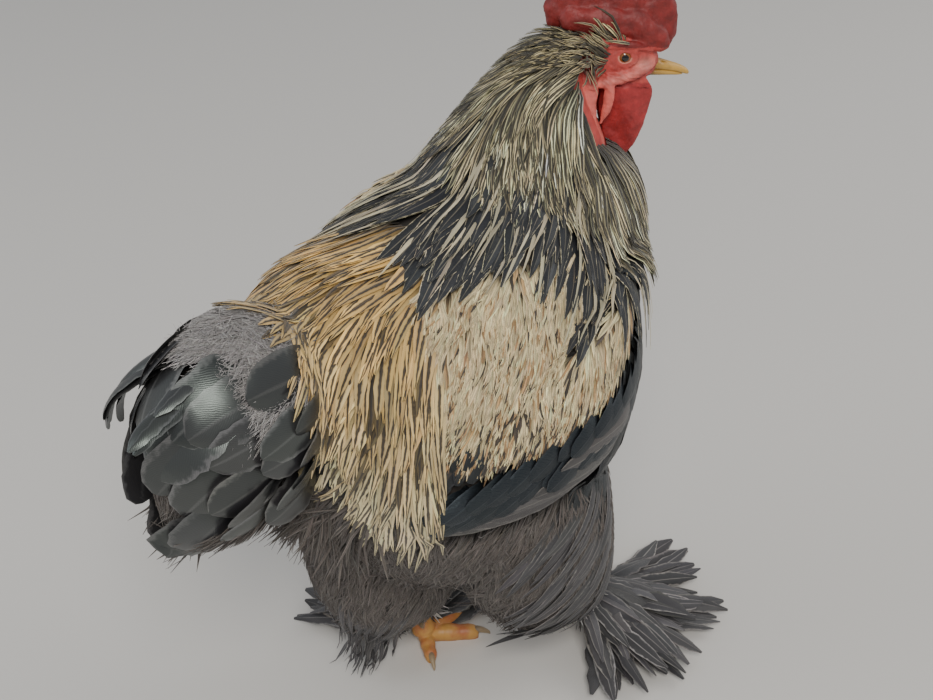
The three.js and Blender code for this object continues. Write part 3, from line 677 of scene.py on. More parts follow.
shade[flap] = WATTLE_RED
shade[flap & (ahead < 0) & (np.abs(aside) > 20)] = LOBE_RED
# The comb gets its darkened red, with painted shade in it.
shade[near_head & (above > 12) & (beyond > 0.8)] = COMB_SHADED_RED
store(skin.data, "skin_colour", "FLOAT_COLOR", np.hstack([shade, np.ones((len(shade), 1))]))
skin.data.shade_smooth()


def flesh_material():
    """Bare skin in the mesh's colours, blotched and finely pebbled, with light that sinks in a little."""
    paint = Paint("bare skin")
    light = paint.span(paint.noise(120, 5), 0.3, 0.7, 0.72, 1.3, "LINEAR")
    colour = paint.mix(1, paint.kept("skin_colour", "Color"), light, "MULTIPLY")
    place = paint.node("TexCoord", {}, "Object")
    cells = paint.node("TexVoronoi", {"Vector": place, "Scale": 900})
    return paint.finish({
        "Base Color": colour,
        "Normal": paint.bump(cells, 0.35, 0.0004),
        "Roughness": 0.55,
        "Subsurface Weight": 0.12,
        "Subsurface Radius": (1, 0.3, 0.2),
        "Subsurface Scale": 0.002,
    })


skin.data.materials.clear()
skin.data.materials.append(flesh_material())
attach(skin, "root")
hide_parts("torso", "neck", "tail", "wing_left", "wing_right", "thigh_left", "thigh_right", "head",
            "comb", "wattle_left", "wattle_right", "ear_lobe_left", "ear_lobe_right")

# Eyes.
# Each eye is a small wet ball with a black pupil in an orange-brown iris.
# It sits deep between the lids.
EYE_RADIUS = 6.2
PUPIL_EDGE = 0.89
IRIS_EDGE = 0.62
IRIS = (0.24, 0.075, 0.015, 1)
IRIS_RIM = (0.08, 0.02, 0.008, 1)
PUPIL = (0.002, 0.002, 0.002, 1)


def eye_material():
    """A wet ball, coloured by how near each point is to the middle of the pupil."""
    paint = Paint("eye")
    gaze = paint.sum("MULTIPLY_ADD", paint.noise(900), 0.05, paint.kept("gaze"))
    colour = paint.ramp(gaze, (0, IRIS_RIM), (IRIS_EDGE, IRIS_RIM), (IRIS_EDGE + 0.06, IRIS),
                        (PUPIL_EDGE, IRIS), (PUPIL_EDGE + 0.02, PUPIL), (1, PUPIL))
    wetness = {"Roughness": 0.08, "Coat Weight": 0.5, "Coat Roughness": 0.02}
    return paint.finish({"Base Color": colour, **wetness})


wet = eye_material()
for side, name in SIDE_NAMES.items():
    t, turn = np.meshgrid(np.linspace(0, np.pi, 27)[1:-1], np.arange(40) / 40 * 2 * np.pi, indexing="ij")
    ball = np.stack([np.sin(t) * np.cos(turn), side * np.cos(t), -side * np.sin(t) * np.sin(turn)], -1)
    points, faces = loft(ball)
    points[-2:] = [[0, side, 0], [0, -side, 0]]
    eye = piece_of("eye_ball_" + name, in_head(points * EYE_RADIUS + EYE_PLACE * [1, side, 1]), faces)
    store(eye.data, "gaze", "FLOAT", points[:, 1] * side)
    eye.data.shade_smooth()
    eye.data.materials.append(wet)
    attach(eye, "root")
    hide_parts("eye_" + name)

# Beak.
# The beak is short stout horn over bone, yellow with a dark root, its upper half hooked over the lower.
# A slit of a nostril opens on each side near the root.
BEAK_UPPER = [
    (22, 0, -8, 8.4, 6.4, 4.6),
    (33, 0, -8.6, 7.6, 5.4, 4),
    (45, 0, -9.4, 6, 4.2, 3.3),
    (55, 0, -10.6, 4.4, 3.5, 2.8, -4),
    (62, 0, -12.2, 3, 2.5, 2.4, -10),
    (65, 0, -13.8, 1.2, 1.1, 1.3, -24),
]
BEAK_LOWER = [
    (22, 0, -14.5, 7.6, 3.2, 5),
    (36, 0, -14.2, 6.6, 3.2, 3.8),
    (47, 0, -14, 5, 2.8, 2.9),
    (55, 0, -14.4, 3.2, 1.9, 1.9),
    (60, 0, -14.8, 0.9, 0.9, 0.9),
]
NOSTRIL = (41, -5)
NOSTRIL_SIZE = (3.4, 1.5)
NOSTRIL_DEPTH = 2.4
HORN = (0.56, 0.33, 0.07, 1)
HORN_ROOT = (0.12, 0.06, 0.025, 1)


def horn_material(name, tip, root):
    """Layered horn, darker towards its root, with faint growth lines across its length."""
    paint = Paint(name)
    share = paint.sum("MULTIPLY_ADD", paint.noise(160, 4), 0.35, paint.kept("along"))
    lines = paint.sum("SINE", paint.sum("MULTIPLY", share, 110))
    return paint.finish({
        "Base Color": paint.ramp(share, (0.2, root), (0.62, tip)),
        "Normal": paint.bump(lines, 0.2, 0.0003),
        "Roughness": 0.34,
    })


def horn_piece(name, form, rings, around, material, node):
    points, faces = form.shell(rings, around)
    made = piece_of(name, points, faces)
    store(made.data, "along", "FLOAT", np.append(np.repeat(np.linspace(0, 1, rings), around), [0, 1]))
    made.data.shade_smooth()
    made.data.materials.append(material)
    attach(made, "root")
    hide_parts(node)
    return made


beak_horn = horn_material("beak horn", HORN, HORN_ROOT)
beak_upper = horn_piece("beak_top", Form(head_stations(BEAK_UPPER), 2.1), 90, 64, beak_horn, "beak_upper")
horn_piece("beak_under", Form(head_stations(BEAK_LOWER), 2.1), 60, 48, beak_horn, "beak_lower")
spots = bird_points(beak_upper.data)
own = of_head(spots)
slit = np.hypot((own[:, 0] - NOSTRIL[0]) / NOSTRIL_SIZE[0], (own[:, 2] - NOSTRIL[1]) / NOSTRIL_SIZE[1])
sunk = np.where((slit < 1) & (np.abs(own[:, 1]) > 3), NOSTRIL_DEPTH * (1 - slit**2), 0)
spots -= head_axes[:, 1] * (np.sign(own[:, 1]) * sunk)[:, None]
move_corners(beak_upper.data, metres(spots))

# Legs and toes.
# Yellow-orange scaly shanks stand on four toes each, half hidden by feathers on the outer side.
# Broad overlapping scutes run down the front, small round scales cover the rest.
TOE_HEIGHT = 9
ANKLE_HEIGHT = 12
TOES = {"inner": (38, 56, 8.5), "middle": (0, 76, 9.5), "outer": (-36, 60, 8.5), "hind": (118, 34, 7.5)}
SCUTE_PITCH = 4.6
SCUTE_DEPTH = 0.55
LEG_VOXEL = 0.0011
LEG_YELLOW = (0.52, 0.27, 0.07, 1)
LEG_ORANGE = (0.42, 0.14, 0.05, 1)
SHANK = [(-0.35, 6), (-0.25, 11), (0, 13), (0.15, 11), (0.8, 10.5), (0.97, 12), (1.06, 5)]
TOE = [
    (-0.05, 1, 1), (0.12, 1.05, 0), (0.3, 0.92, -1), (0.48, 1, -1), (0.66, 0.84, -1.5),
    (0.84, 0.86, -1.5), (0.97, 0.6, -2.5), (1, 0.2, -3),
]


def scaled_shell(form, rings, around, length):
    """A form's shell with scutes across its upper side."""
    t, angle = np.meshgrid(np.linspace(0, 1, rings), np.arange(around) / around * 2 * np.pi, indexing="ij")
    step = t * length / SCUTE_PITCH % 1
    plate = np.clip(step * 5, 0, 1) * (1 - 0.35 * step)
    small = np.sin(t * length * 2 * np.pi / 2.6) * np.sin(angle * 9)
    front = np.clip(np.sin(angle) * 2 + 0.4, 0, 1)
    rise = SCUTE_DEPTH * (front * plate + (1 - front) * 0.5 * small)
    inner = (t > 0.03) & (t < 0.97)
    return loft(form.on(t, angle) + form.normal(t, angle) * (rise * inner)[..., None])


def toe_form(side, toe):
    x, y = LEGS[side]["foot"]
    turn, length, thick = TOES[toe]
    heading = math.radians(-side * turn)
    rows = []
    for share, size, rise in TOE:
        reach = share * length
        rows.append((x + math.cos(heading) * reach, y + math.sin(heading) * reach, TOE_HEIGHT + rise,
                     thick * size, thick * size, TOE_HEIGHT + 1.5, 0, -side * turn))
    return Form(rows)


def shank_ends(side):
    """Where a shank leaves its thigh, and where it meets its toes."""
    return np.array(LEGS[side]["hock"], float), np.array([*LEGS[side]["foot"], ANKLE_HEIGHT], float)


def shank_form(side):
    top, base = shank_ends(side)
    run = base - top
    lean = math.degrees(math.atan2(run[2], math.hypot(run[0], run[1])))
    turn = math.degrees(math.atan2(run[1], run[0]))
    if abs(turn) > 90:
        lean, turn = -180 - lean, turn - math.copysign(180, turn)
    return Form([(*(top + run * share), size, size, size, lean, turn) for share, size in SHANK])


def scale_material():
    """Horny scales with sunken seams, mottled orange and yellow."""
    paint = Paint("leg scales")
    place = paint.node("TexCoord", {}, "Object")
    seams = paint.node("TexVoronoi", {"Vector": place, "Scale": 420}, feature="DISTANCE_TO_EDGE")
    return paint.finish({
        "Base Color": paint.ramp(paint.noise(60, 5), (0.4, LEG_ORANGE), (0.62, LEG_YELLOW)),
        "Normal": paint.bump(seams, 0.5, 0.0005),
        "Roughness": 0.45,
    })


scales = scale_material()
for side, name in SIDE_NAMES.items():
    shells = [scaled_shell(shank_form(side), 150, 40, 90)]
    shells += [scaled_shell(toe_form(side, toe), 110, 32, TOES[toe][1]) for toe in TOES]
    foot = remeshed("scaly_foot_" + name, shells, LEG_VOXEL)
    spots = corners_of(foot.data)
    spots[:, 2] = np.maximum(spots[:, 2], 0)
    move_corners(foot.data, spots)
    foot.data.shade_smooth()
    foot.data.materials.clear()
    foot.data.materials.append(scales)
    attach(foot, "root")
    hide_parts("foot_" + name)

# Claws and spurs.
# Each toe ends in a curved claw of dull horn that grows over the toe's last bone.
# A short blunt spur of the same horn grows on the inner side of each shank.
CLAW_LENGTH = 17
CLAW_HORN = (0.3, 0.22, 0.13, 1)
CLAW_ROOT = (0.13, 0.09, 0.06, 1)
SPUR = [(5, 3), (9, 4.6), (15, 3.6), (22, 1.8), (25, 0.5)]
SPUR_SHARE = 0.66
SPUR_WAY = (-0.45, 0.9)
claw_horn = horn_material("claw horn", CLAW_HORN, CLAW_ROOT)


def claw_form(side, toe):
    x, y = LEGS[side]["foot"]
    turn, length, thick = TOES[toe]
    heading = math.radians(-side * turn)
    size = thick * 0.42
    rows = [
        (-7, TOE_HEIGHT + 0.5, size * 0.8, 10),
        (-2, TOE_HEIGHT + 1, size, 0),
        (4, TOE_HEIGHT - 0.5, size * 0.85, -20),
        (CLAW_LENGTH * 0.6, TOE_HEIGHT - 4, size * 0.5, -38),
        (CLAW_LENGTH - 5, 2, 0.5, -45),
    ]
    return Form([(x + math.cos(heading) * (length + past), y + math.sin(heading) * (length + past), z,
                  r, r, r, lean, -side * turn) for past, z, r, lean in rows])


for side, name in SIDE_NAMES.items():
    for toe in TOES:
        node = "claw_" + toe + "_" + name
        horn_piece("horn_" + node, claw_form(side, toe), 24, 20, claw_horn, node)
    top, base = shank_ends(side)
    start = top * (1 - SPUR_SHARE) + base * SPUR_SHARE
    inward = unit(np.array([SPUR_WAY[0], -side * SPUR_WAY[1], 0]))
    turn = math.degrees(math.atan2(inward[1], inward[0]))
    rows = [(*(start + inward * out + [0, 0, out * 0.12]), r, r, r, 6, turn) for out, r in SPUR]
    horn_piece("horn_spur_" + name, Form(rows), 24, 20, claw_horn, "spur_" + name)

# Hackle.
# Long narrow pointed feathers hang all round the neck, cream with a dark stripe down the middle.
# Each is a thin horny vane on a shaft, rooted in the skin, and lies over the next one down.
HACKLE_SPACING = 2.9
HACKLE_WIDTH = (2.5, 6)
HACKLE_EDGE = (0.8, 0.68, 0.4)
# The olive of the upper neck is darker than the cream below it: partly the feathers' own olive, partly
# painted shade for the less lit upper neck.
HACKLE_SHADED_OLIVE = (0.33, 0.29, 0.16)
HACKLE_STRIPE = (0.022, 0.019, 0.013)
HACKLE_FOOT = 0.5
LANCE = (0.5, 0.8, 0.95, 1, 0.92, 0.7, 0.12)
FLOOR_CLEARANCE = 2.5
FLOOR_TURN = 22
BAKE_PATCH = 0.003
SHARP_EDGE = math.radians(50)
LOCK_SEED = 3
# heights in the head's frame, and how far forward the hackle grows at each
HACKLE_FRONT = ([-92, -67, -56, -12], [30, 1, -23, -32])


def root_tree():
    """Spreads roots evenly over a surface, each with the way out of the skin."""
    tree = bpy.data.node_groups.new("feather roots", "GeometryNodeTree")
    face = tree.interface
    face.new_socket("Geometry", in_out="INPUT", socket_type="NodeSocketGeometry")
    spacing = face.new_socket("Spacing", in_out="INPUT", socket_type="NodeSocketFloat")
    seed = face.new_socket("Seed", in_out="INPUT", socket_type="NodeSocketInt")
    face.new_socket("Geometry", in_out="OUTPUT", socket_type="NodeSocketGeometry")
    entry, leave = tree.nodes.new("NodeGroupInput"), tree.nodes.new("NodeGroupOutput")
    spread = tree.nodes.new("GeometryNodeDistributePointsOnFaces")
    spread.distribute_method = "POISSON"
    spread.inputs["Density Max"].default_value = 1e6
    keep = tree.nodes.new("GeometryNodeStoreNamedAttribute")
    keep.data_type = "FLOAT_VECTOR"
    keep.inputs["Name"].default_value = "out"
    plain = tree.nodes.new("GeometryNodePointsToVertices")
    real = tree.nodes.new("GeometryNodeRealizeInstances")
    finish = tree.nodes.new("GeometryNodeSetMaterial")
    finish.inputs["Material"].default_value = skin.data.materials[0]
    link = tree.links.new
    link(entry.outputs["Geometry"], spread.inputs["Mesh"])
    link(entry.outputs["Spacing"], spread.inputs["Distance Min"])
    link(entry.outputs["Seed"], spread.inputs["Seed"])
    link(spread.outputs["Points"], keep.inputs["Geometry"])
    link(spread.outputs["Normal"], keep.inputs["Value"])
    link(keep.outputs["Geometry"], plain.inputs["Points"])
    link(plain.outputs["Mesh"], real.inputs["Geometry"])
    link(real.outputs["Geometry"], finish.inputs["Geometry"])
    link(finish.outputs["Geometry"], leave.inputs["Geometry"])
    return tree, spacing.identifier, seed.identifier


roots_tree, spacing_socket, seed_socket = root_tree()


def scatter(spacing, seed):
    """Roots, ways out and parts of the body, spread over the whole bed."""
    spread = bed.modifiers.new("roots", "NODES")
    spread.node_group = roots_tree
    spread[spacing_socket] = spacing / 1000
    spread[seed_socket] = seed
    bed.update_tag()
    drawn = bed.evaluated_get(bpy.context.evaluated_depsgraph_get())
    mesh = bpy.data.meshes.new_from_object(drawn)
    bed.modifiers.clear()
    roots, outs = bird_points(mesh), triples(mesh.attributes["out"].data, "vector")
    bpy.data.meshes.remove(mesh)
    return roots, outs, part_of(roots)


def strokes(roots, outs, flow, lengths, lift, steps=5, hold=0.7, sink=3.0, extra=0.0, keep=0.0):
    """Middles of feathers that leave their roots, follow a flow and lie over the bed.
    The lift is their height over it from root to tip; hold draws them down to that height.
    With keep at 1 they go on facing the way their roots do."""
    count = len(roots)
    lines, faces = np.empty((count, steps + 1, 3)), np.empty((count, steps + 1, 3))
    lines[:, 0], faces[:, 0] = roots - outs * sink, outs
    points = roots.copy()
    face = outs.copy()
    for k in range(1, steps + 1):
        share = k / steps
        way = flow(points, share)
        way = unit(way - face * (way * face).sum(-1, keepdims=True) * 0.8)
        way[:, 2] *= np.clip((points[:, 2] - FLOOR_CLEARANCE) / FLOOR_TURN, 0, 1)
        points = points + way * lengths[:, None] / steps
        spots, face = nearest(points)
        gap = ((points - spots) * face).sum(-1)
        wanted = np.interp(share, np.linspace(0, 1, len(lift)), lift) + extra * min(1, 2 * share)
        move = np.where(gap < wanted, wanted - gap, hold * (wanted - gap))
        points = points + face * move[:, None]
        points[:, 2] = np.maximum(points[:, 2], FLOOR_CLEARANCE)
        lines[:, k], faces[:, k] = points, face * (1 - keep) + outs * keep
    return lines, faces


def free_strokes(roots, faces, flow, lengths, steps=6):
    """Middles of feathers that stand clear of the body, with the way each one faces."""
    count = len(roots)
    lines = np.empty((count, steps + 1, 3))
    points = roots.copy()
    lines[:, 0] = points
    for k in range(1, steps + 1):
        way = unit(flow(points, k / steps))
        way[:, 2] *= np.clip((points[:, 2] - FLOOR_CLEARANCE) / FLOOR_TURN, 0, 1)
        points = points + way * lengths[:, None] / steps
        points[:, 2] = np.maximum(points[:, 2], FLOOR_CLEARANCE)
        lines[:, k] = points
    return lines, np.repeat(faces[:, None], steps + 1, axis=1)


noise.seed_set(LOCK_SEED)


def locks(roots, size, amount, seed):
    """A sway that neighbours share, so that feathers gather in locks."""
    drift = Vector((seed, 0, 0))
    return np.array([noise.noise_vector(Vector(root) / size + drift) for root in roots.tolist()]) * amount


def patches(roots, size, seed):
    """A share from 0 to 1 that drifts slowly over the body."""
    drift = Vector((0, seed, 0))
    return np.array([noise.noise(Vector(root) / size + drift) for root in roots.tolist()]) * 0.7 + 0.5


def drawn_vanes(name, lines, faces, widths, shape, places, edge, stripe, rng, columns=3, camber=0.22,
                roll=0.12, ragged=0.1):
    """Closed thin vanes with a raised shaft, one along each line, as one mesh."""
    count, rings = lines.shape[:2]
    run = unit(np.gradient(lines, axis=1))
    side = unit(np.cross(run, faces))
    face = np.cross(side, run)
    turn = rng.normal(0, roll, (count, 1, 1))
    side, face = side * np.cos(turn) + face * np.sin(turn), face * np.cos(turn) - side * np.sin(turn)
    along = np.linspace(0, 1, rings)
    half = widths[:, None] / 2 * np.interp(along, np.linspace(0, 1, len(shape)), shape)
    uneven = 1 + ragged * rng.uniform(-1, 1, (count, rings, 2))
    across = np.linspace(-1, 1, columns)
    points = np.empty((count, rings, columns, 3))
    for c, u in enumerate(across):
        spread = half * u * (uneven[:, :, 0] if u < 0 else uneven[:, :, 1])
        rise = camber * half * (1 - u * u) + 0.25
        points[:, :, c] = lines + side * spread[..., None] + face * (rise - 0.25 * abs(u))[..., None]
    size = rings * columns
    base = (np.arange(count) * size)[:, None, None]
    i, c = np.meshgrid(np.arange(rings - 1), np.arange(columns), indexing="ij")
    a, b = i * columns + c, i * columns + (c + 1) % columns
    quads = (np.stack([a, b, b + columns, a + columns], -1).reshape(1, -1, 4) + base).reshape(-1, 4)
    fan = np.array([[0, c, c + 1] for c in range(1, columns - 1)])
    caps = np.concatenate([fan[:, ::-1], fan + size - columns])
    tris = (caps[None] + base).reshape(-1, 3)
    corners = np.concatenate([quads.ravel(), tris.ravel()])
    mesh = bpy.data.meshes.new(name)
    mesh.vertices.add(count * size)
    mesh.vertices.foreach_set("co", metres(points.reshape(-1, 3)).astype(np.float32).ravel())
    mesh.loops.add(len(corners))
    mesh.loops.foreach_set("vertex_index", corners.astype(np.int32))
    starts = np.concatenate([np.arange(len(quads)) * 4, len(quads) * 4 + np.arange(len(tris)) * 3])
    mesh.polygons.add(len(starts))
    mesh.polygons.foreach_set("loop_start", starts.astype(np.int32))
    mesh.update(calc_edges=True)
    mesh.shade_smooth()
    mesh.set_sharp_from_angle(angle=SHARP_EDGE)
    spots = np.empty((count, rings, columns, 2))
    spots[..., 0] = (across + 1) / 2
    spots[..., 1] = along[:, None]
    spots = spots.reshape(-1, 2)
    on_skin = np.repeat(places, size, axis=0) + (spots - 0.5) * BAKE_PATCH
    for layer, flat in (("Feather", spots), ("OFBake", on_skin)):
        mesh.uv_layers.new(name=layer).data.foreach_set("uv", flat[corners].astype(np.float32).ravel())
    for kind, colour in (("edge_colour", edge), ("stripe_colour", stripe)):
        store(mesh, kind, "FLOAT_COLOR", np.repeat(np.hstack([colour, np.ones((count, 1))]), size, axis=0))
    reach = np.linalg.norm(np.diff(lines, axis=1), axis=2).sum(1)
    quill = np.column_stack([reach, widths / 2, rng.random(count)])
    store(mesh, "quill", "FLOAT_VECTOR", np.repeat(quill, size, axis=0))
    return placed(name, mesh)


def tinted(colour, count, rng, spread=0.14, hue=0.02):
    """A colour for each feather, varied in lightness and a little in hue."""
    light = 1 + rng.normal(0, spread, (count, 1))
    shade = 1 + rng.normal(0, hue, (count, 3))
    return np.clip(np.asarray(colour) * light * shade, 0.002, 0.9)


def skin_places(form, points):
    """Where each root lies on the bake's own map: along the form, and around it."""
    t, angle, _ = form.place(points)
    return np.column_stack([0.03 + 0.94 * t, 0.5 + 0.47 * angle / np.pi])


def feather_material(name, stripe=(0.3, 0.6), barb=1.3, slant=0.9, roughness=0.55, sheen=0.2,
                     gloss=(1, 1, 1, 1), level=0.4, contrast=0.16, shaft=0.3, relief=0.5):
    """Vanes with a stripe along the shaft, fine slanting barbs and a shade of its own for each feather,
    darkened towards the root: partly the dark base of each feather, partly painted shade where the feathers
    overlap.
    """
    paint = Paint(name)
    split = "SeparateXYZ"
    spot = paint.node("UVMap", {}, uv_map="Feather")
    across, along = (paint.node(split, {0: spot}, axis) for axis in "XY")
    quill = paint.kept("quill", "Vector")
    length, half, own_shade = (paint.node(split, {0: quill}, axis) for axis in "XYZ")
    sums, grain = paint.sum, paint.noise(260)
    off = sums("ABSOLUTE", sums("MULTIPLY_ADD", across, 2.0, -1.0))
    away = sums("MULTIPLY", sums("MULTIPLY", off, half), slant)
    line = sums("SUBTRACT", sums("MULTIPLY", along, length), away)
    loose = sums("MULTIPLY_ADD", grain, 2.4, -1.2)
    waves = sums("SINE", sums("MULTIPLY", sums("ADD", line, loose), 2 * math.pi / barb))
    border = paint.span(sums("ADD", off, sums("MULTIPLY_ADD", grain, 0.4, -0.2)), *stripe)
    edge = paint.kept("edge_colour", "Color")
    rib = paint.span(off, 0.02, 0.1, 1.0, 0.0)
    colour = paint.mix(border, paint.kept("stripe_colour", "Color"), edge)
    colour = paint.mix(sums("MULTIPLY", rib, shaft), colour, edge)
    light = sums("ADD", sums("MULTIPLY", waves, contrast), sums("MULTIPLY_ADD", own_shade, 0.4, 0.8))
    # Darker towards the root: partly the feather's own dark base, partly painted shade for the layers lying
    # under the next feathers.
    light = sums("MULTIPLY", light, paint.span(along, 0.05, 0.62, 0.22, 1.0))
    shade = paint.node("CombineXYZ", {0: light, 1: light, 2: light})
    return paint.finish({
        "Base Color": paint.mix(1.0, colour, shade, "MULTIPLY"),
        "Normal": paint.bump(sums("ADD", sums("MULTIPLY", waves, 0.4), rib), relief, 0.0006),
        "Roughness": roughness,
        "Sheen Weight": sheen,
        "Specular IOR Level": level,
        "Specular Tint": gloss,
    })


def coat(made, material):
    made.data.materials.append(material)
    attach(made, "root")
    return made


def neck_flow(points, share):
    """Down the neck, and out over the shoulders near its foot."""
    t, _, _ = neck.place(points)
    centre = neck.section(t)[0]
    outward = unit((points - centre) * [1, 1, 0])
    spread = np.clip((500 - points[:, 2]) / 90, 0, 1)
    return np.array([-0.1, 0, -1]) + outward * (0.1 + 0.75 * spread)[:, None]


def hackle_flow(points, share):
    """Back from the face, then down the neck."""
    near_face = np.clip((of_head(points)[:, 2:] + 40) / 34, 0, 1)
    return neck_flow(points, share) * (1 - near_face) + (head_axes @ [-0.7, 0, -0.8]) * near_face


def bare_face(own):
    """Where the head of a rooster has no feathers, in the head's own frame."""
    ahead, _, above = own.T
    brow = (ahead > -7) & (above < 11) | (ahead > 30)
    jaw = (ahead > -33) & (above < -8)
    return brow | jaw


def hackle_feathers():
    rng = np.random.default_rng(11)
    roots, outs, parts = scatter(HACKLE_SPACING, 3)
    t, angle, _ = neck.place(roots)
    own = of_head(roots)
    front = np.clip(np.cos(angle + np.pi / 2) * 1.4 - 0.2, 0, 1)
    behind_face = own[:, 0] < np.interp(own[:, 2], *HACKLE_FRONT)
    inside = (parts == NECK) & (t > HACKLE_FOOT - 0.24 * front) & behind_face
    roots, outs, t, front = roots[inside], outs[inside], t[inside], front[inside]
    lengths = np.interp(t, [0.35, 0.6, 0.8, 1], [74, 72, 50, 26]) * rng.uniform(0.82, 1.15, len(t))
    widths = np.interp(t, [0.4, 1], HACKLE_WIDTH[::-1]) * rng.uniform(0.8, 1.15, len(t))
    sway = rng.normal(0, 0.05, (len(t), 3)) + locks(roots, 16, 0.5, 1)
    loose = np.interp(roots[:, 2], [500, 540, 590], [9, 11, 0]) * front - 2 * (1 - front)
    lines, faces = strokes(roots, outs, lambda points, share: hackle_flow(points, share) + sway, lengths,
                           (0.5, 3, 7, 11), steps=7, extra=loose)
    # The edges turn from cream low on the neck to a darker olive higher up, partly their own colour and
    # partly painted shade.
    low = np.clip((0.95 - t) / 0.35, 0, 1)[:, None]
    edge = tinted(HACKLE_SHADED_OLIVE, len(t), rng, 0.25) * (1 - low) + tinted(HACKLE_EDGE, len(t), rng, 0.22) * low
    dusky = rng.random(len(t)) < 0.22
    edge[dusky] *= 0.25
    # Drifting patches lighten and darken the edges; the darkest patches are painted shade for the shadow
    # between locks of hackle.
    edge *= (0.2 + 1.25 * np.clip(1.7 * patches(roots, 15, 4) - 0.35, 0, 1))[:, None]
    edge = np.minimum(edge, 0.85)
    stripe = tinted(HACKLE_STRIPE, len(t), rng)
    return drawn_vanes("hackle", lines, faces, widths, LANCE, skin_places(neck, roots), edge, stripe, rng,
                       roll=0.2, ragged=0.2)


coat(hackle_feathers(), feather_material("hackle vanes", (0.35, 0.7)))

# Crown and cheeks.
# Short ruffled feathers cover the crown on both sides of the comb, the brows and the back of the head.
# They are the same cream and dark vanes as the hackle's, and those beside the comb stand up against it.
CROWN_SPACING = 2.3
CROWN_EDGE = (0.46, 0.38, 0.2)


def crown_feathers():
    rng = np.random.default_rng(21)
    roots, outs, _ = scatter(CROWN_SPACING, 31)
    own = of_head(roots)
    on_skull = (own[:, 0] > -75) & (own[:, 0] < 44) & (own[:, 2] > -34) & (np.abs(own[:, 1]) < 36)
    comb_side = np.interp(own[:, 0], [10, 30], [17, 12])
    inside = on_skull & ~bare_face(own) & ((np.abs(own[:, 1]) > comb_side) | (own[:, 0] < -72))
    roots, outs, own = roots[inside], outs[inside], own[inside]
    count = len(roots)
    lengths = rng.uniform(14, 24, count)
    by_comb = np.clip((own[:, 2] - 4) / 10, 0, 1) * (own[:, 0] > -45)
    lengths *= 1 + 0.45 * by_comb
    way = np.array([-1, 0, 0.45]) + rng.normal(0, 0.24, (count, 3)) * (1 + by_comb)[:, None]
    way[:, 2] += 0.45 * by_comb
    way[own[:, 0] < -18] += [0, 0, -0.9]
    way[own[:, 2] < -5] += [0, 0, -0.6]
    way = way @ head_axes.T
    ruffled = by_comb * (own[:, 0] > -16) * rng.uniform(-4, 12, count)
    lengths += np.maximum(ruffled, 0)
    lines, faces = strokes(roots, outs, lambda points, share: way, lengths, (0.5, 3, 6, 8), steps=4,
                           hold=0.3, extra=ruffled)
    edge = tinted(CROWN_EDGE, count, rng, 0.25)
    edge[rng.random(count) < 0.3] *= 0.2
    return drawn_vanes("crown", lines, faces, rng.uniform(1.8, 3.2, count), LANCE, skin_places(neck, roots),
                       edge, tinted(HACKLE_STRIPE, count, rng), rng)


coat(crown_feathers(), feather_material("crown vanes", (0.25, 0.6)))

# Cape.
# Broad black feathers spread from the foot of the neck over the shoulders and the upper back.
# They have thin cream edges, and narrower, paler ones lie among them.
CAPE_SPACING = 8.6
CAPE_EDGE = (0.7, 0.62, 0.42)
CAPE_BLACK = (0.014, 0.015, 0.018)
POINTED = (0.45, 0.8, 0.96, 1, 0.95, 0.85, 0.66, 0.4, 0.08)


def cape_flow(points, share):
    back = np.clip((60 - points[:, 0]) / 120, 0, 1)[:, None]
    side = np.sign(points[:, 1:2]) * np.array([0, 1, 0])
    return neck_flow(points, share) * (1 - back) + (np.array([-1, 0, -0.5]) + 0.3 * side) * back


def cape_feathers():
    rng = np.random.default_rng(12)
    roots, outs, parts = scatter(CAPE_SPACING, 5)
    t, angle, _ = neck.place(roots)
    x, y, z = roots.T
    front = np.clip(np.cos(angle + np.pi / 2) * 1.4 - 0.2, 0, 1)
    upper = (parts == NECK) & (t > 0.14) & (t < 0.55 - 0.3 * front)
    shoulders = (parts == TORSO) & (z > 440) & (x > -70)
    lowest = np.where(x > 14, 452, np.interp(y, [-60, 0, 30], [508, 500, 440]))
    inside = (upper | shoulders) & (z > lowest)
    roots, outs = roots[inside], outs[inside]
    count = len(roots)
    narrow = rng.random(count) < 0.3
    lengths = rng.uniform(70, 98, count)
    widths = np.where(narrow, rng.uniform(2.4, 4, count), rng.uniform(13, 19, count))
    sway = rng.normal(0, 0.04, (count, 3)) + locks(roots, 30, 0.3, 6)
    lines, faces = strokes(roots, outs, lambda points, share: cape_flow(points, share) + sway, lengths,
                           (0.5, 3, 6, 9), steps=8, extra=narrow * 3)
    edge = tinted(CAPE_EDGE, count, rng)
    stripe = np.where(narrow[:, None], edge * 0.7, tinted(CAPE_BLACK, count, rng))
    return drawn_vanes("cape", lines, faces, widths, POINTED, skin_places(neck, roots), edge, stripe, rng,
                       columns=5, camber=0.14)


cape_vanes = feather_material("cape vanes", (0.88, 0.99), roughness=0.4, level=0.5,
                              gloss=(0.93, 0.97, 1, 1), shaft=0.2, sheen=0.03)
coat(cape_feathers(), cape_vanes)

# Saddle.
# Long narrow feathers flow from the middle of the back over its sides and hang to pointed tips.
# They are gold to straw with dark middles, and the longest, lowest ones are the palest.
SADDLE_SPACING = 5.8
SADDLE_GOLD = (0.72, 0.45, 0.14)
SADDLE_STRAW = (0.8, 0.68, 0.4)
SADDLE_DARK = (0.035, 0.027, 0.02)


def flank_flow(points, share):
    """Back along the spine, and more and more downwards on the sides."""
    side = np.sign(points[:, 1])
    fall = np.clip(np.abs(points[:, 1]) / 100, 0, 1.2)
    return np.stack([-1 + 0.68 * fall, side * 0.12, -0.08 - 0.95 * fall], -1)


def saddle_front(z):
    """How far forward the saddle reaches at each height, where the wings and the cape take over."""
    return np.interp(z, [360, 440, 480, 495, 520], [-166, -142, -116, -98, -78])


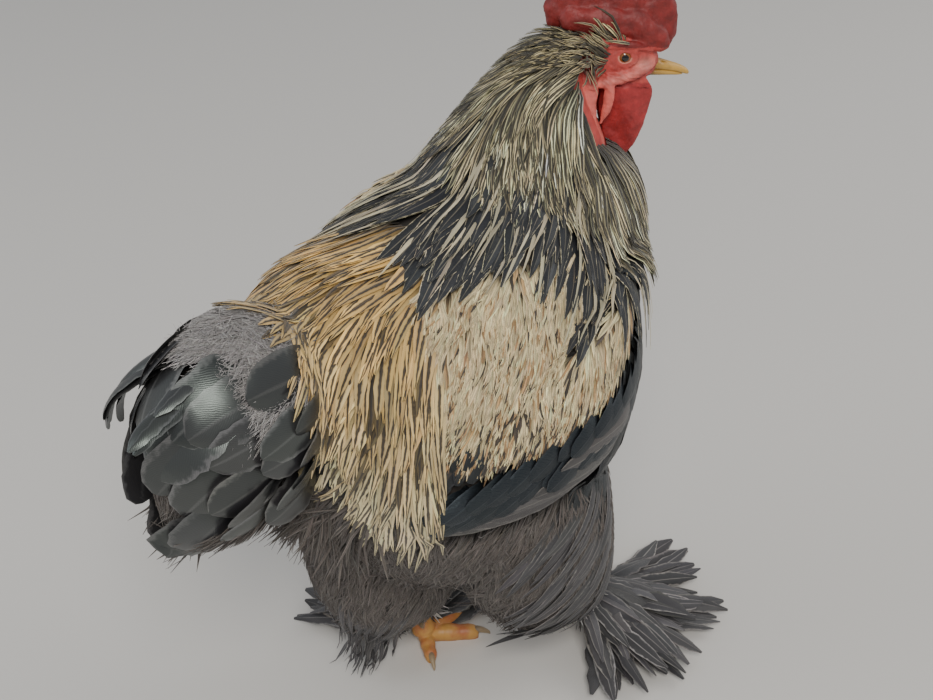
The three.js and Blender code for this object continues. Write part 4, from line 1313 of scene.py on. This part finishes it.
def saddle_feathers():
    rng = np.random.default_rng(13)
    roots, outs, parts = scatter(SADDLE_SPACING, 7)
    x, y, z = roots.T
    lowest = np.interp(x, [-230, -160, -100], [380, 368, 394])
    hind = np.where(z > 450, -210, -226)
    inside = (parts == TORSO) & (x < saddle_front(z)) & (x > hind) & (z > lowest)
    roots, outs, x, z = roots[inside], outs[inside], x[inside], z[inside]
    count = len(roots)
    lengths = np.interp(z, [380, 440, 520], [140, 112, 70]) * rng.uniform(0.7, 1.25, count)
    over_tail = np.clip((-160 - x) / 40, 0, 1)
    under_tail = np.clip((-180 - x) / 30, 0, 1)
    lengths *= 1 - np.where(z > 440, 0.4 * over_tail, 0.6 * under_tail)
    widths = rng.uniform(5.5, 10, count)
    sway = rng.normal(0, 0.06, (count, 3)) + locks(roots, 28, 0.5, 2)
    sway[:, 0] = np.minimum(sway[:, 0], np.clip((saddle_front(z) - x) / 90, 0, 0.5))
    lines, faces = strokes(roots, outs, lambda points, share: flank_flow(points, share) + sway, lengths,
                           (0.5, 3, 8, 13), steps=8, extra=6 * np.clip((-150 - x) / 40, 0, 1) * (z > 440))
    pale = np.clip((500 - z) / 100, 0, 1)[:, None]
    edge = tinted(SADDLE_GOLD, count, rng, 0.16) * (1 - pale) + tinted(SADDLE_STRAW, count, rng) * pale
    dark = rng.random(count) < 0.06 + 0.9 * np.clip(patches(roots, 34, 7) - 0.55, 0, 1) * (1.2 - pale[:, 0])
    edge[dark] *= 0.18
    edge *= (0.66 + 0.55 * patches(roots, 18, 8))[:, None]
    stripe = tinted(SADDLE_DARK, count, rng)
    return drawn_vanes("saddle", lines, faces, widths, LANCE, skin_places(torso, roots), edge, stripe, rng,
                       roll=0.2, ragged=0.18)


coat(saddle_feathers(), feather_material("saddle vanes", (0.15, 0.5), shaft=0.1))

# Wing bow.
# Short soft feathers with loose, hair-like edges cover the shoulder of each folded wing.
# They are pale straw with rusty and dark flecks, more of them along the lower edge.
BOW_SPACING = 6
BOW_STRAW = (0.8, 0.65, 0.37)
BOW_RUST = (0.5, 0.31, 0.14)
BOW_DARK = (0.07, 0.055, 0.042)
BLADES = 6


def split(roots, outs, count, apart, rng):
    """Several blades for each root, a little apart."""
    many = np.repeat(roots, count, axis=0) + rng.normal(0, apart, (len(roots) * count, 3))
    return many, np.repeat(outs, count, axis=0)


def wing_flow(points, share):
    side = np.sign(points[:, 1])
    return np.stack([-0.45 + 0 * side, -0.05 * side, -0.9 + 0 * side], -1)


def bow_front(z):
    """How far forward the pale shoulder of the wing reaches at each height."""
    return np.interp(z, [380, 400, 442, 480], [-30, 0, 42, 30])


def bow_feathers(side):
    rng = np.random.default_rng(14 + side)
    roots, outs, parts = scatter(BOW_SPACING, 9 + side)
    x, y, z = roots.T
    raised = WING_HOLD[side][0]
    own = (parts == (LEFT_WING if side > 0 else RIGHT_WING)) | (parts == TORSO) & (y * side > 50)
    inside = own & (x > saddle_front(z) - 22) & (x < bow_front(z)) & (z > 378 + raised) & (z < 490)
    roots, outs, z = roots[inside], outs[inside], z[inside]
    roots, outs = split(roots, outs, BLADES, 1.8, rng)
    z = np.repeat(z, BLADES) - raised
    count = len(roots)
    sway = rng.normal(0, 0.13, (count, 3)) + locks(roots, 24, 0.5, 3)
    lines, faces = strokes(roots, outs, lambda points, share: wing_flow(points, share) + sway,
                           rng.uniform(24, 40, count), (0.5, 4, 6.5), steps=4)
    low = np.clip((430 - z) / 50, 0, 1)
    fleck = rng.random(count) < 0.09 + 0.3 * low
    rusty = rng.random(count) < 0.14 + 0.3 * low
    edge = tinted(BOW_STRAW, count, rng, 0.16)
    edge[rusty] = tinted(BOW_RUST, rusty.sum(), rng, 0.2)
    edge[fleck] = tinted(BOW_DARK, fleck.sum(), rng, 0.2)
    edge *= (0.72 + 0.45 * patches(roots, 12, 9))[:, None]
    return drawn_vanes("wing_bow_" + SIDE_NAMES[side], lines, faces, rng.uniform(2, 5, count), LANCE,
                       skin_places(wings[side], roots), edge, edge * 0.55, rng, camber=0.25, roll=0.3,
                       ragged=0.3)


bow_blades = feather_material("wing bow blades", (0.1, 0.5), roughness=0.65)
for side in SIDE_NAMES:
    coat(bow_feathers(side), bow_blades)

# Wing bar and wing quills.
# Under the bow lie rows of rounded black feathers with a blue-green gloss.
# Long stiff slate-grey quills are folded below them along the lower edge of the wing.
BAR_ROWS = [
    # first and last place along the wing, feathers, degrees below its middle, length, width, height
    (0.2, 0.66, 13, -14, 50, 23, 2.4),
    (0.18, 0.63, 13, 0, 52, 24, 1.6),
]
QUILL_ROW = (0.3, 0.66, 10, 18, 44, 118, 25)
BAR_BLACK = (0.012, 0.013, 0.016)
BAR_EDGE = (0.03, 0.033, 0.038)
QUILL_SLATE = (0.05, 0.046, 0.045)
QUILL_EDGE = (0.16, 0.15, 0.135)
ROUND = (0.3, 0.56, 0.76, 0.89, 0.97, 1, 1, 0.98, 0.93, 0.84, 0.68, 0.14)


def wing_roots(side, t, down):
    """Points on the outside of a folded wing, some degrees below its middle, and the way out there."""
    angle = -np.radians(down) if side > 0 else np.pi + np.radians(down)
    return wings[side].on(t, angle), wings[side].normal(t, angle)


def bar_feathers(side):
    rng = np.random.default_rng(17 + side)
    sets = [], [], [], [], []
    for first, last, count, down, length, width, high in BAR_ROWS:
        t = np.linspace(last, first, count) + rng.normal(0, 0.008, count)
        roots, outs = wing_roots(side, t, np.full(count, float(down)))
        sizes = np.full(count, float(length)), np.full(count, float(width))
        for held, values in zip(sets, (roots, outs, *sizes, high + 0.5 * np.arange(count) % 3)):
            held.append(values)
    roots, outs, lengths, widths, high = (np.concatenate(held) for held in sets)
    count = len(roots)
    lengths *= rng.uniform(0.92, 1.08, count)
    flow = np.array([-0.9, -0.05 * side, -0.55])
    lines, faces = strokes(roots, outs, lambda points, share: flow + 0 * points, lengths, (0.5, 3.5, 5, 6),
                           steps=9, extra=high, hold=0.85)
    return drawn_vanes("wing_bar_" + SIDE_NAMES[side], lines, faces, widths, ROUND,
                       skin_places(wings[side], roots), tinted(BAR_EDGE, count, rng),
                       tinted(BAR_BLACK, count, rng), rng, columns=7, camber=0.14, roll=0.05, ragged=0.04)


def wing_quills(side):
    rng = np.random.default_rng(19 + side)
    first, last, count, top, bottom, length, width = QUILL_ROW
    t = np.linspace(last, first, count)
    roots, outs = wing_roots(side, t, np.linspace(top, bottom, count))
    flow = np.array([-1, -0.18 * side, -0.02])
    lengths = length * np.linspace(1, 0.92, count) * rng.uniform(0.97, 1.03, count)
    lines, faces = strokes(roots, outs, lambda points, share: flow + 0 * points, lengths, (0.5, 3, 4, 5),
                           steps=14, extra=1.1 * np.arange(count)[::-1] / 2, hold=0.85)
    return drawn_vanes("wing_quills_" + SIDE_NAMES[side], lines, faces, np.full(count, float(width)), ROUND,
                       skin_places(wings[side], roots), tinted(QUILL_EDGE, count, rng),
                       tinted(QUILL_SLATE, count, rng), rng, columns=7, camber=0.12, roll=0.04, ragged=0.03)


glossy_vanes = feather_material("glossy black vanes", (0.8, 1), roughness=0.36, level=0.5,
                                gloss=(0.7, 0.9, 1, 1), sheen=0, barb=1.6, contrast=0.12, shaft=0.4)
quill_vanes = feather_material("slate quill vanes", (0.75, 1), roughness=0.42, level=0.45, sheen=0.1,
                               barb=1.6, shaft=0.6)
for side in SIDE_NAMES:
    coat(bar_feathers(side), glossy_vanes)
    coat(wing_quills(side), quill_vanes)

# Breast.
# Rounded black feathers lie like tiles over the breast, the hips and the sides below the wings.
# They have a faint green gloss and slightly paler edges.
BREAST_SPACING = 10
BREAST_BLACK = (0.014, 0.014, 0.016)
BROAD = (0.35, 0.75, 0.96, 1, 1, 0.92, 0.68, 0.25)


def breast_flow(points, share):
    under = np.clip((330 - points[:, 2]) / 120, 0, 1)
    return np.stack([-0.4 - 0.6 * under, 0 * under, -1 + 0.5 * under], -1)


def breast_feathers():
    rng = np.random.default_rng(23)
    roots, outs, parts = scatter(BREAST_SPACING, 41)
    x, y, z = roots.T
    t, _, _ = neck.place(roots)
    on_shoulder = (np.abs(y) > 50) & (x < bow_front(z) + 4) & (z > 378)
    front = (parts == TORSO) & (x > -10) & (z > 170) & (z < 506) & ~on_shoulder
    throat = (parts == NECK) & (x > 60) & (t < 0.42)
    wing_fronts = ((parts == LEFT_WING) | (parts == RIGHT_WING)) & (x > 5) & (z < 400)
    under_saddle = (parts == TORSO) & (x < -70) & (z > 300) & (z < 400) & (np.abs(y) > 40)
    hips = ((parts == LEFT_THIGH) | (parts == RIGHT_THIGH)) & (z > 200) & (x > 4)
    inside = front | throat | wing_fronts | under_saddle | hips
    roots, outs = roots[inside], outs[inside]
    count = len(roots)
    lines, faces = strokes(roots, outs, breast_flow, rng.uniform(34, 46, count), (0.5, 3, 4.5, 6), steps=5)
    colour = tinted(BREAST_BLACK, count, rng, 0.2)
    return drawn_vanes("breast", lines, faces, rng.uniform(16, 21, count), BROAD, skin_places(torso, roots),
                       colour * 1.9, colour, rng, columns=5, camber=0.16)


breast_vanes = feather_material("breast vanes", (0.6, 1), roughness=0.45, level=0.5, sheen=0.04,
                                gloss=(0.85, 0.97, 0.95, 1))
coat(breast_feathers(), breast_vanes)

# Fluff.
# Long loose taupe down hides the belly and swells over both thighs.
# It grows as soft tufts of thin blades that hang down and back.
FLUFF_SPACING = 7.4
FLUFF = {
    "blades": 6,
    "apart": 2.4,
    "way": (-0.4, 0, -1),
    "spread": 0.13,
    "sway": (0.6, 1.2),
    "lock": (20, 0.45),
    "reach": (34, 56),
    "lift": (0.5, 5, 8),
    "steps": 3,
    "hold": 0.5,
    "widths": (1.2, 2.8),
    "tip": (0.17, 0.148, 0.134),
    "base": (0.09, 0.077, 0.068),
    "shades": 0.25,
}


def tufts(name, form, seed, drift, spacing, down, inside_of):
    """Tufts of blades that share a root, lie along one way and sway more towards their tips."""
    rng = np.random.default_rng(seed)
    roots, outs, parts = scatter(spacing, drift)
    inside = inside_of(parts, *roots.T)
    roots, outs = split(roots[inside], outs[inside], down["blades"], down["apart"], rng)
    count = len(roots)
    size, amount, lock_seed = down["lock"]
    loose = rng.normal(0, down["spread"], (count, 3)) + locks(roots, size, amount, lock_seed)
    first, more = down["sway"]

    def hang(points, share):
        return np.array(down["way"]) + loose * (first + more * share)

    lines, faces = strokes(roots, outs, hang, rng.uniform(*down["reach"], count), down["lift"],
                           steps=down["steps"], hold=down["hold"])
    widths = rng.uniform(*down["widths"], count)
    tips, bases = (tinted(down[end], count, rng, down["shades"]) for end in ("tip", "base"))
    return drawn_vanes(name, lines, faces, widths, LANCE, skin_places(form, roots), tips, bases, rng,
                       camber=0.35, roll=0.5, ragged=0.25)


def on_belly(parts, x, y, z):
    under = (parts == TORSO) & (x < 30) & (z < np.interp(x, [-240, -160, -20, 30], [380, 320, 300, 220]))
    return under | (parts == TAIL) & ((z < 372) | (x < -312))


down = feather_material("fluff blades", (0.3, 1), roughness=0.8, level=0.15, sheen=0.22, contrast=0.1)
for name, form, seed, inside_of in (
        ("fluff_left", thighs[1], 51, lambda parts, x, y, z: parts == LEFT_THIGH),
        ("fluff_right", thighs[-1], 53, lambda parts, x, y, z: parts == RIGHT_THIGH),
        ("fluff_belly", torso, 55, on_belly)):
    settings = {**FLUFF, "lock": (*FLUFF["lock"], seed)}
    coat(tufts(name, form, seed, seed, FLUFF_SPACING, settings, inside_of), down)

# Stern.
# Longer, looser down stands out behind the body and fills the hollow under the tail.
# It is the same taupe down as on the belly, a little coarser.
STERN_SPACING = 8
STERN = {
    **FLUFF,
    "apart": 3,
    "way": (-1, 0, -0.75),
    "spread": 0.16,
    "sway": (1, 0),
    "lock": (24, 0.6, 5),
    "reach": (52, 84),
    "lift": (0.5, 9, 20),
    "steps": 4,
    "hold": 0.15,
    "widths": (1.6, 3.6),
}


def on_stern(parts, x, y, z):
    behind = (parts == TORSO) & (x < -196) & (z > 250) & (z < 345)
    return behind | (parts == TAIL) & (z < 360) & (x > -290)


coat(tufts("fluff_stern", torso, 57, 59, STERN_SPACING, STERN, on_stern), down)

# Tail.
# Broad rounded black quills stand in two fans back to back, with a green gloss.
# The longest curl outwards at the tip, and glossy coverts lie over their roots.
TAIL_ROWS = [
    # place along the tail, feathers a side, first and last angle, length, width, height over the next row
    (0.42, 6, 58, -48, 84, 56, 2),
    (0.58, 6, 50, -50, 84, 52, 5),
    (0.74, 5, 36, -46, 78, 44, 8),
    (0.88, 3, 8, -30, 54, 34, 10),
]
SICKLES = [
    # angle round the tail, place along it, length, width, how far the tip curls
    (86, 0.5, 104, 17, 0.5),
    (78, 0.38, 112, 19, 0.8),
    (66, 0.42, 116, 18, 1),
    (54, 0.34, 108, 19, 1.2),
    (40, 0.4, 100, 17, 1.4),
]
NEAR_CURL = 0.3
TAIL_BLACK = (0.03, 0.029, 0.031)
TAIL_EDGE = (0.11, 0.107, 0.108)


def tail_feathers():
    rng = np.random.default_rng(29)
    rows = []
    for t, count, first, last, length, width, high in TAIL_ROWS:
        for side in (1, -1):
            for k in range(count):
                down = k / (count - 1)
                turn = first + (last - first) * down + rng.uniform(-5, 5)
                rows.append((t, math.radians(turn if side > 0 else 180 - turn), side, down,
                             length * rng.uniform(0.84, 1.12) * (1 - (0.26 + 0.04 * side) * down**2),
                             width * rng.uniform(0.85, 1.1), high + k % 2))
    t, angle, side, share_down, lengths, widths, high = np.array(rows).T
    roots, outs = tail.on(t, angle), tail.normal(t, angle)
    ways = np.stack([-1 + 0 * t, side * (0.04 + 0.16 * share_down), 0.1 - 0.5 * share_down], -1)
    bend = rng.normal(0, 0.12, (len(t), 3))
    lines, faces = strokes(roots, outs, lambda points, share: ways + bend + [0, 0, -0.3 * share], lengths,
                           (0.5, 4, 7, 10), steps=14, extra=high, hold=0.05, keep=0.8)
    count = len(roots)
    return drawn_vanes("tail_vanes", lines, faces, widths, ROUND, skin_places(tail, roots),
                       tinted(TAIL_EDGE, count, rng), tinted(TAIL_BLACK, count, rng), rng, columns=7,
                       camber=0.15, roll=0.16, ragged=0.06)


def sickle_feathers():
    rng = np.random.default_rng(33)
    rows = [(1, math.radians(turn), t, length, width, curl) for turn, t, length, width, curl in SICKLES]
    rows += [(-1, math.radians(180 - turn), t, length * 0.8, width, curl * NEAR_CURL)
             for turn, t, length, width, curl in SICKLES[:3]]
    side, angle, t, lengths, widths, curl = np.array(rows).T
    roots, outs = tail.on(t, angle), tail.normal(t, angle)

    def arch(points, share):
        lean = np.radians(26 - 80 * curl * share**1.7)
        apart = np.where(side > 0, 0.62 + 0.5 * share * curl, 0.25)
        return np.stack([-0.8 * np.cos(lean), side * apart, 1.1 * np.sin(lean)], -1)

    lines, faces = strokes(roots, outs, arch, lengths, (0.5, 8, 12, 12), steps=16, hold=0)
    return drawn_vanes("sickles", lines, faces, widths, ROUND, skin_places(tail, roots),
                       tinted(TAIL_EDGE, len(side), rng), tinted(TAIL_BLACK, len(side), rng), rng, columns=7,
                       camber=0.3, roll=0.15, ragged=0.05)


tail_vanes = feather_material("tail vanes", (0.75, 1), roughness=0.33, level=0.7,
                              gloss=(0.86, 1, 0.93, 1), sheen=0, barb=2.6, slant=1.3, contrast=0.1,
                              shaft=0.4, relief=0.1)
coat(tail_feathers(), tail_vanes)
coat(sickle_feathers(), tail_vanes)

# Tail cushion.
# A mound of soft pale grey down covers the root of the tail behind the saddle.
# Its blades are finer than the belly's, and many of them share each root.
CUSHION_SPACING = 3.6
CUSHION = {
    "blades": 10,
    "apart": 3,
    "way": (-1, 0, -0.1),
    "spread": 0.24,
    "sway": (0.5, 1.5),
    "lock": (13, 0.6, 8),
    "reach": (24, 40),
    "lift": (0.5, 9, 15),
    "steps": 3,
    "hold": 0.3,
    "widths": (0.9, 1.8),
    "tip": (0.5, 0.48, 0.47),
    "base": (0.28, 0.265, 0.26),
    "shades": 0.2,
}


def on_cushion(parts, x, y, z):
    return (parts == TAIL) & (x > -278) & (z > 438) | (parts == TORSO) & (x < -216) & (z > 455)


coat(tufts("tail_cushion", tail, 37, 61, CUSHION_SPACING, CUSHION, on_cushion), down)

# Foot feathers.
# Tiers of slate quills fan outwards from each shank and outer toe, as they do on this breed.
# White and grey down stands between their roots and hides the shank.
FOOT_TIERS = [
    # feathers, first and last angle from ahead, height of the roots, how far out they start,
    # length, width, rise at the root
    (19, -8, 134, 10, 14, 116, 20, 0.02),
    (18, -2, 132, 18, 12, 112, 20, 0.05),
    (16, 6, 128, 27, 8, 108, 19, 0.07),
    (14, 14, 124, 37, 6, 100, 18, 0.09),
    (12, 24, 118, 47, 4, 92, 18, 0.1),
    (10, 34, 110, 57, 2, 80, 16, 0.08),
]
FOOT_SHAPE = (0.3, 0.62, 0.86, 1, 1, 0.94, 0.8, 0.56, 0.14)
FOOT_SLATE = (0.045, 0.043, 0.046)
FOOT_EDGE = (0.2, 0.185, 0.175)
FOOT_DOWN = (0.62, 0.6, 0.57)
DOWN_COUNT = 640


def foot_feathers(side):
    rng = np.random.default_rng(41 + side)
    top, base = shank_ends(side)
    rows = []
    for count, first, last, high, out, length, width, rise in FOOT_TIERS:
        for k in range(count):
            turn = math.radians(first + (last - first) * k / (count - 1) + rng.normal(0, 3)) * side
            way = np.array([math.cos(turn), math.sin(turn), 0])
            root = base + (top - base) * max(high - base[2], 0) / (top[2] - base[2]) + way * (out + 5)
            root[2] = high
            sizes = length * rng.uniform(0.68, 1.1), width * rng.uniform(0.7, 1.25)
            rows.append((*root, *way, *sizes, rise, high))
    rows = np.array(rows)
    roots, ways = rows[:, :3], rows[:, 3:6]
    lengths, widths, rise, high = rows[:, 6:].T
    side_way = np.cross(ways, [0, 0, 1]) * rng.normal(0, 0.25, (len(rows), 1))

    def fan(points, share):
        return ways + side_way * share + np.stack([0 * rise, 0 * rise, rise - share * (high - 4) / 62], -1)

    faces = unit(np.array([0, 0, 1]) + 0.3 * ways)
    lines, faces = free_strokes(roots, faces, fan, lengths, steps=10)
    count = len(rows)
    return drawn_vanes("foot_vanes_" + SIDE_NAMES[side], lines, faces, widths, FOOT_SHAPE,
                       skin_places(thighs[side], roots), tinted(FOOT_EDGE, count, rng, 0.3),
                       tinted(FOOT_SLATE, count, rng, 0.3), rng, columns=7, camber=0.24, roll=0.3,
                       ragged=0.22)


def foot_down(side):
    rng = np.random.default_rng(45 + side)
    top, base = shank_ends(side)
    count = DOWN_COUNT
    high = rng.uniform(0.05, 1.05, count)[:, None]
    turn = np.radians(rng.uniform(-10, 140, count)) * side
    ways = np.stack([np.cos(turn), np.sin(turn), 0 * turn], -1)
    roots = base + (top - base) * high + ways * 11
    sway = rng.normal(0, 0.35, (count, 3))
    lines, faces = free_strokes(roots, ways, lambda points, share: ways * 0.8 + [0, 0, -0.75] + sway,
                                rng.uniform(22, 40, count), steps=3)
    pale = tinted(FOOT_DOWN, count, rng, 0.15)
    dark = rng.random(count) < 0.35
    pale[dark] = tinted(FOOT_EDGE, dark.sum(), rng, 0.2)
    return drawn_vanes("foot_down_" + SIDE_NAMES[side], lines, faces, rng.uniform(2.4, 5, count), LANCE,
                       skin_places(thighs[side], roots), pale, pale * 0.7, rng, camber=0.35, roll=0.5,
                       ragged=0.25)


for side in SIDE_NAMES:
    coat(foot_feathers(side), quill_vanes)
    coat(foot_down(side), down)

# Hock feathers.
# Stiff dark feathers droop from the back of each thigh over the hock and trail behind the leg.
# The right leg's are long and few, and the left leg's are a thicker tuft of shorter ones.
HOCK_TUFTS = {
    # first and last angle round the thigh, places down it, way they hang, lengths, widths, how many
    1: ((-165, -60), (0.5, 0.76), (-0.34, -0.12, -1), (62, 96), (3, 8), 130),
    -1: ((112, 195), (0.14, 0.74), (-0.68, 0, -0.82), (84, 120), (8, 16), 76),
}


def hock_feathers(side):
    rng = np.random.default_rng(47 + side)
    angles, shares, way, reach, wide, count = HOCK_TUFTS[side]
    angle = np.radians(rng.uniform(*angles, count))
    t = rng.uniform(*shares, count)
    form = thighs[side]
    roots, outs = form.on(t, angle), form.normal(t, angle)
    lengths = rng.uniform(*reach, count)
    sway = rng.normal(0, 0.1, (count, 3))
    lines, faces = strokes(roots, outs, lambda points, share: np.array(way) * [1 + 0.5 * share, 1, 1] + sway,
                           lengths, (0.5, 7, 10), steps=9, hold=0.05)
    return drawn_vanes("hock_vanes_" + SIDE_NAMES[side], lines, faces, rng.uniform(*wide, count), POINTED,
                       skin_places(form, roots), tinted(FOOT_EDGE, count, rng),
                       tinted(FOOT_SLATE, count, rng), rng, columns=5, camber=0.2, roll=0.2, ragged=0.12)


for side in SIDE_NAMES:
    coat(hock_feathers(side), quill_vanes)

bpy.data.objects.remove(bed)
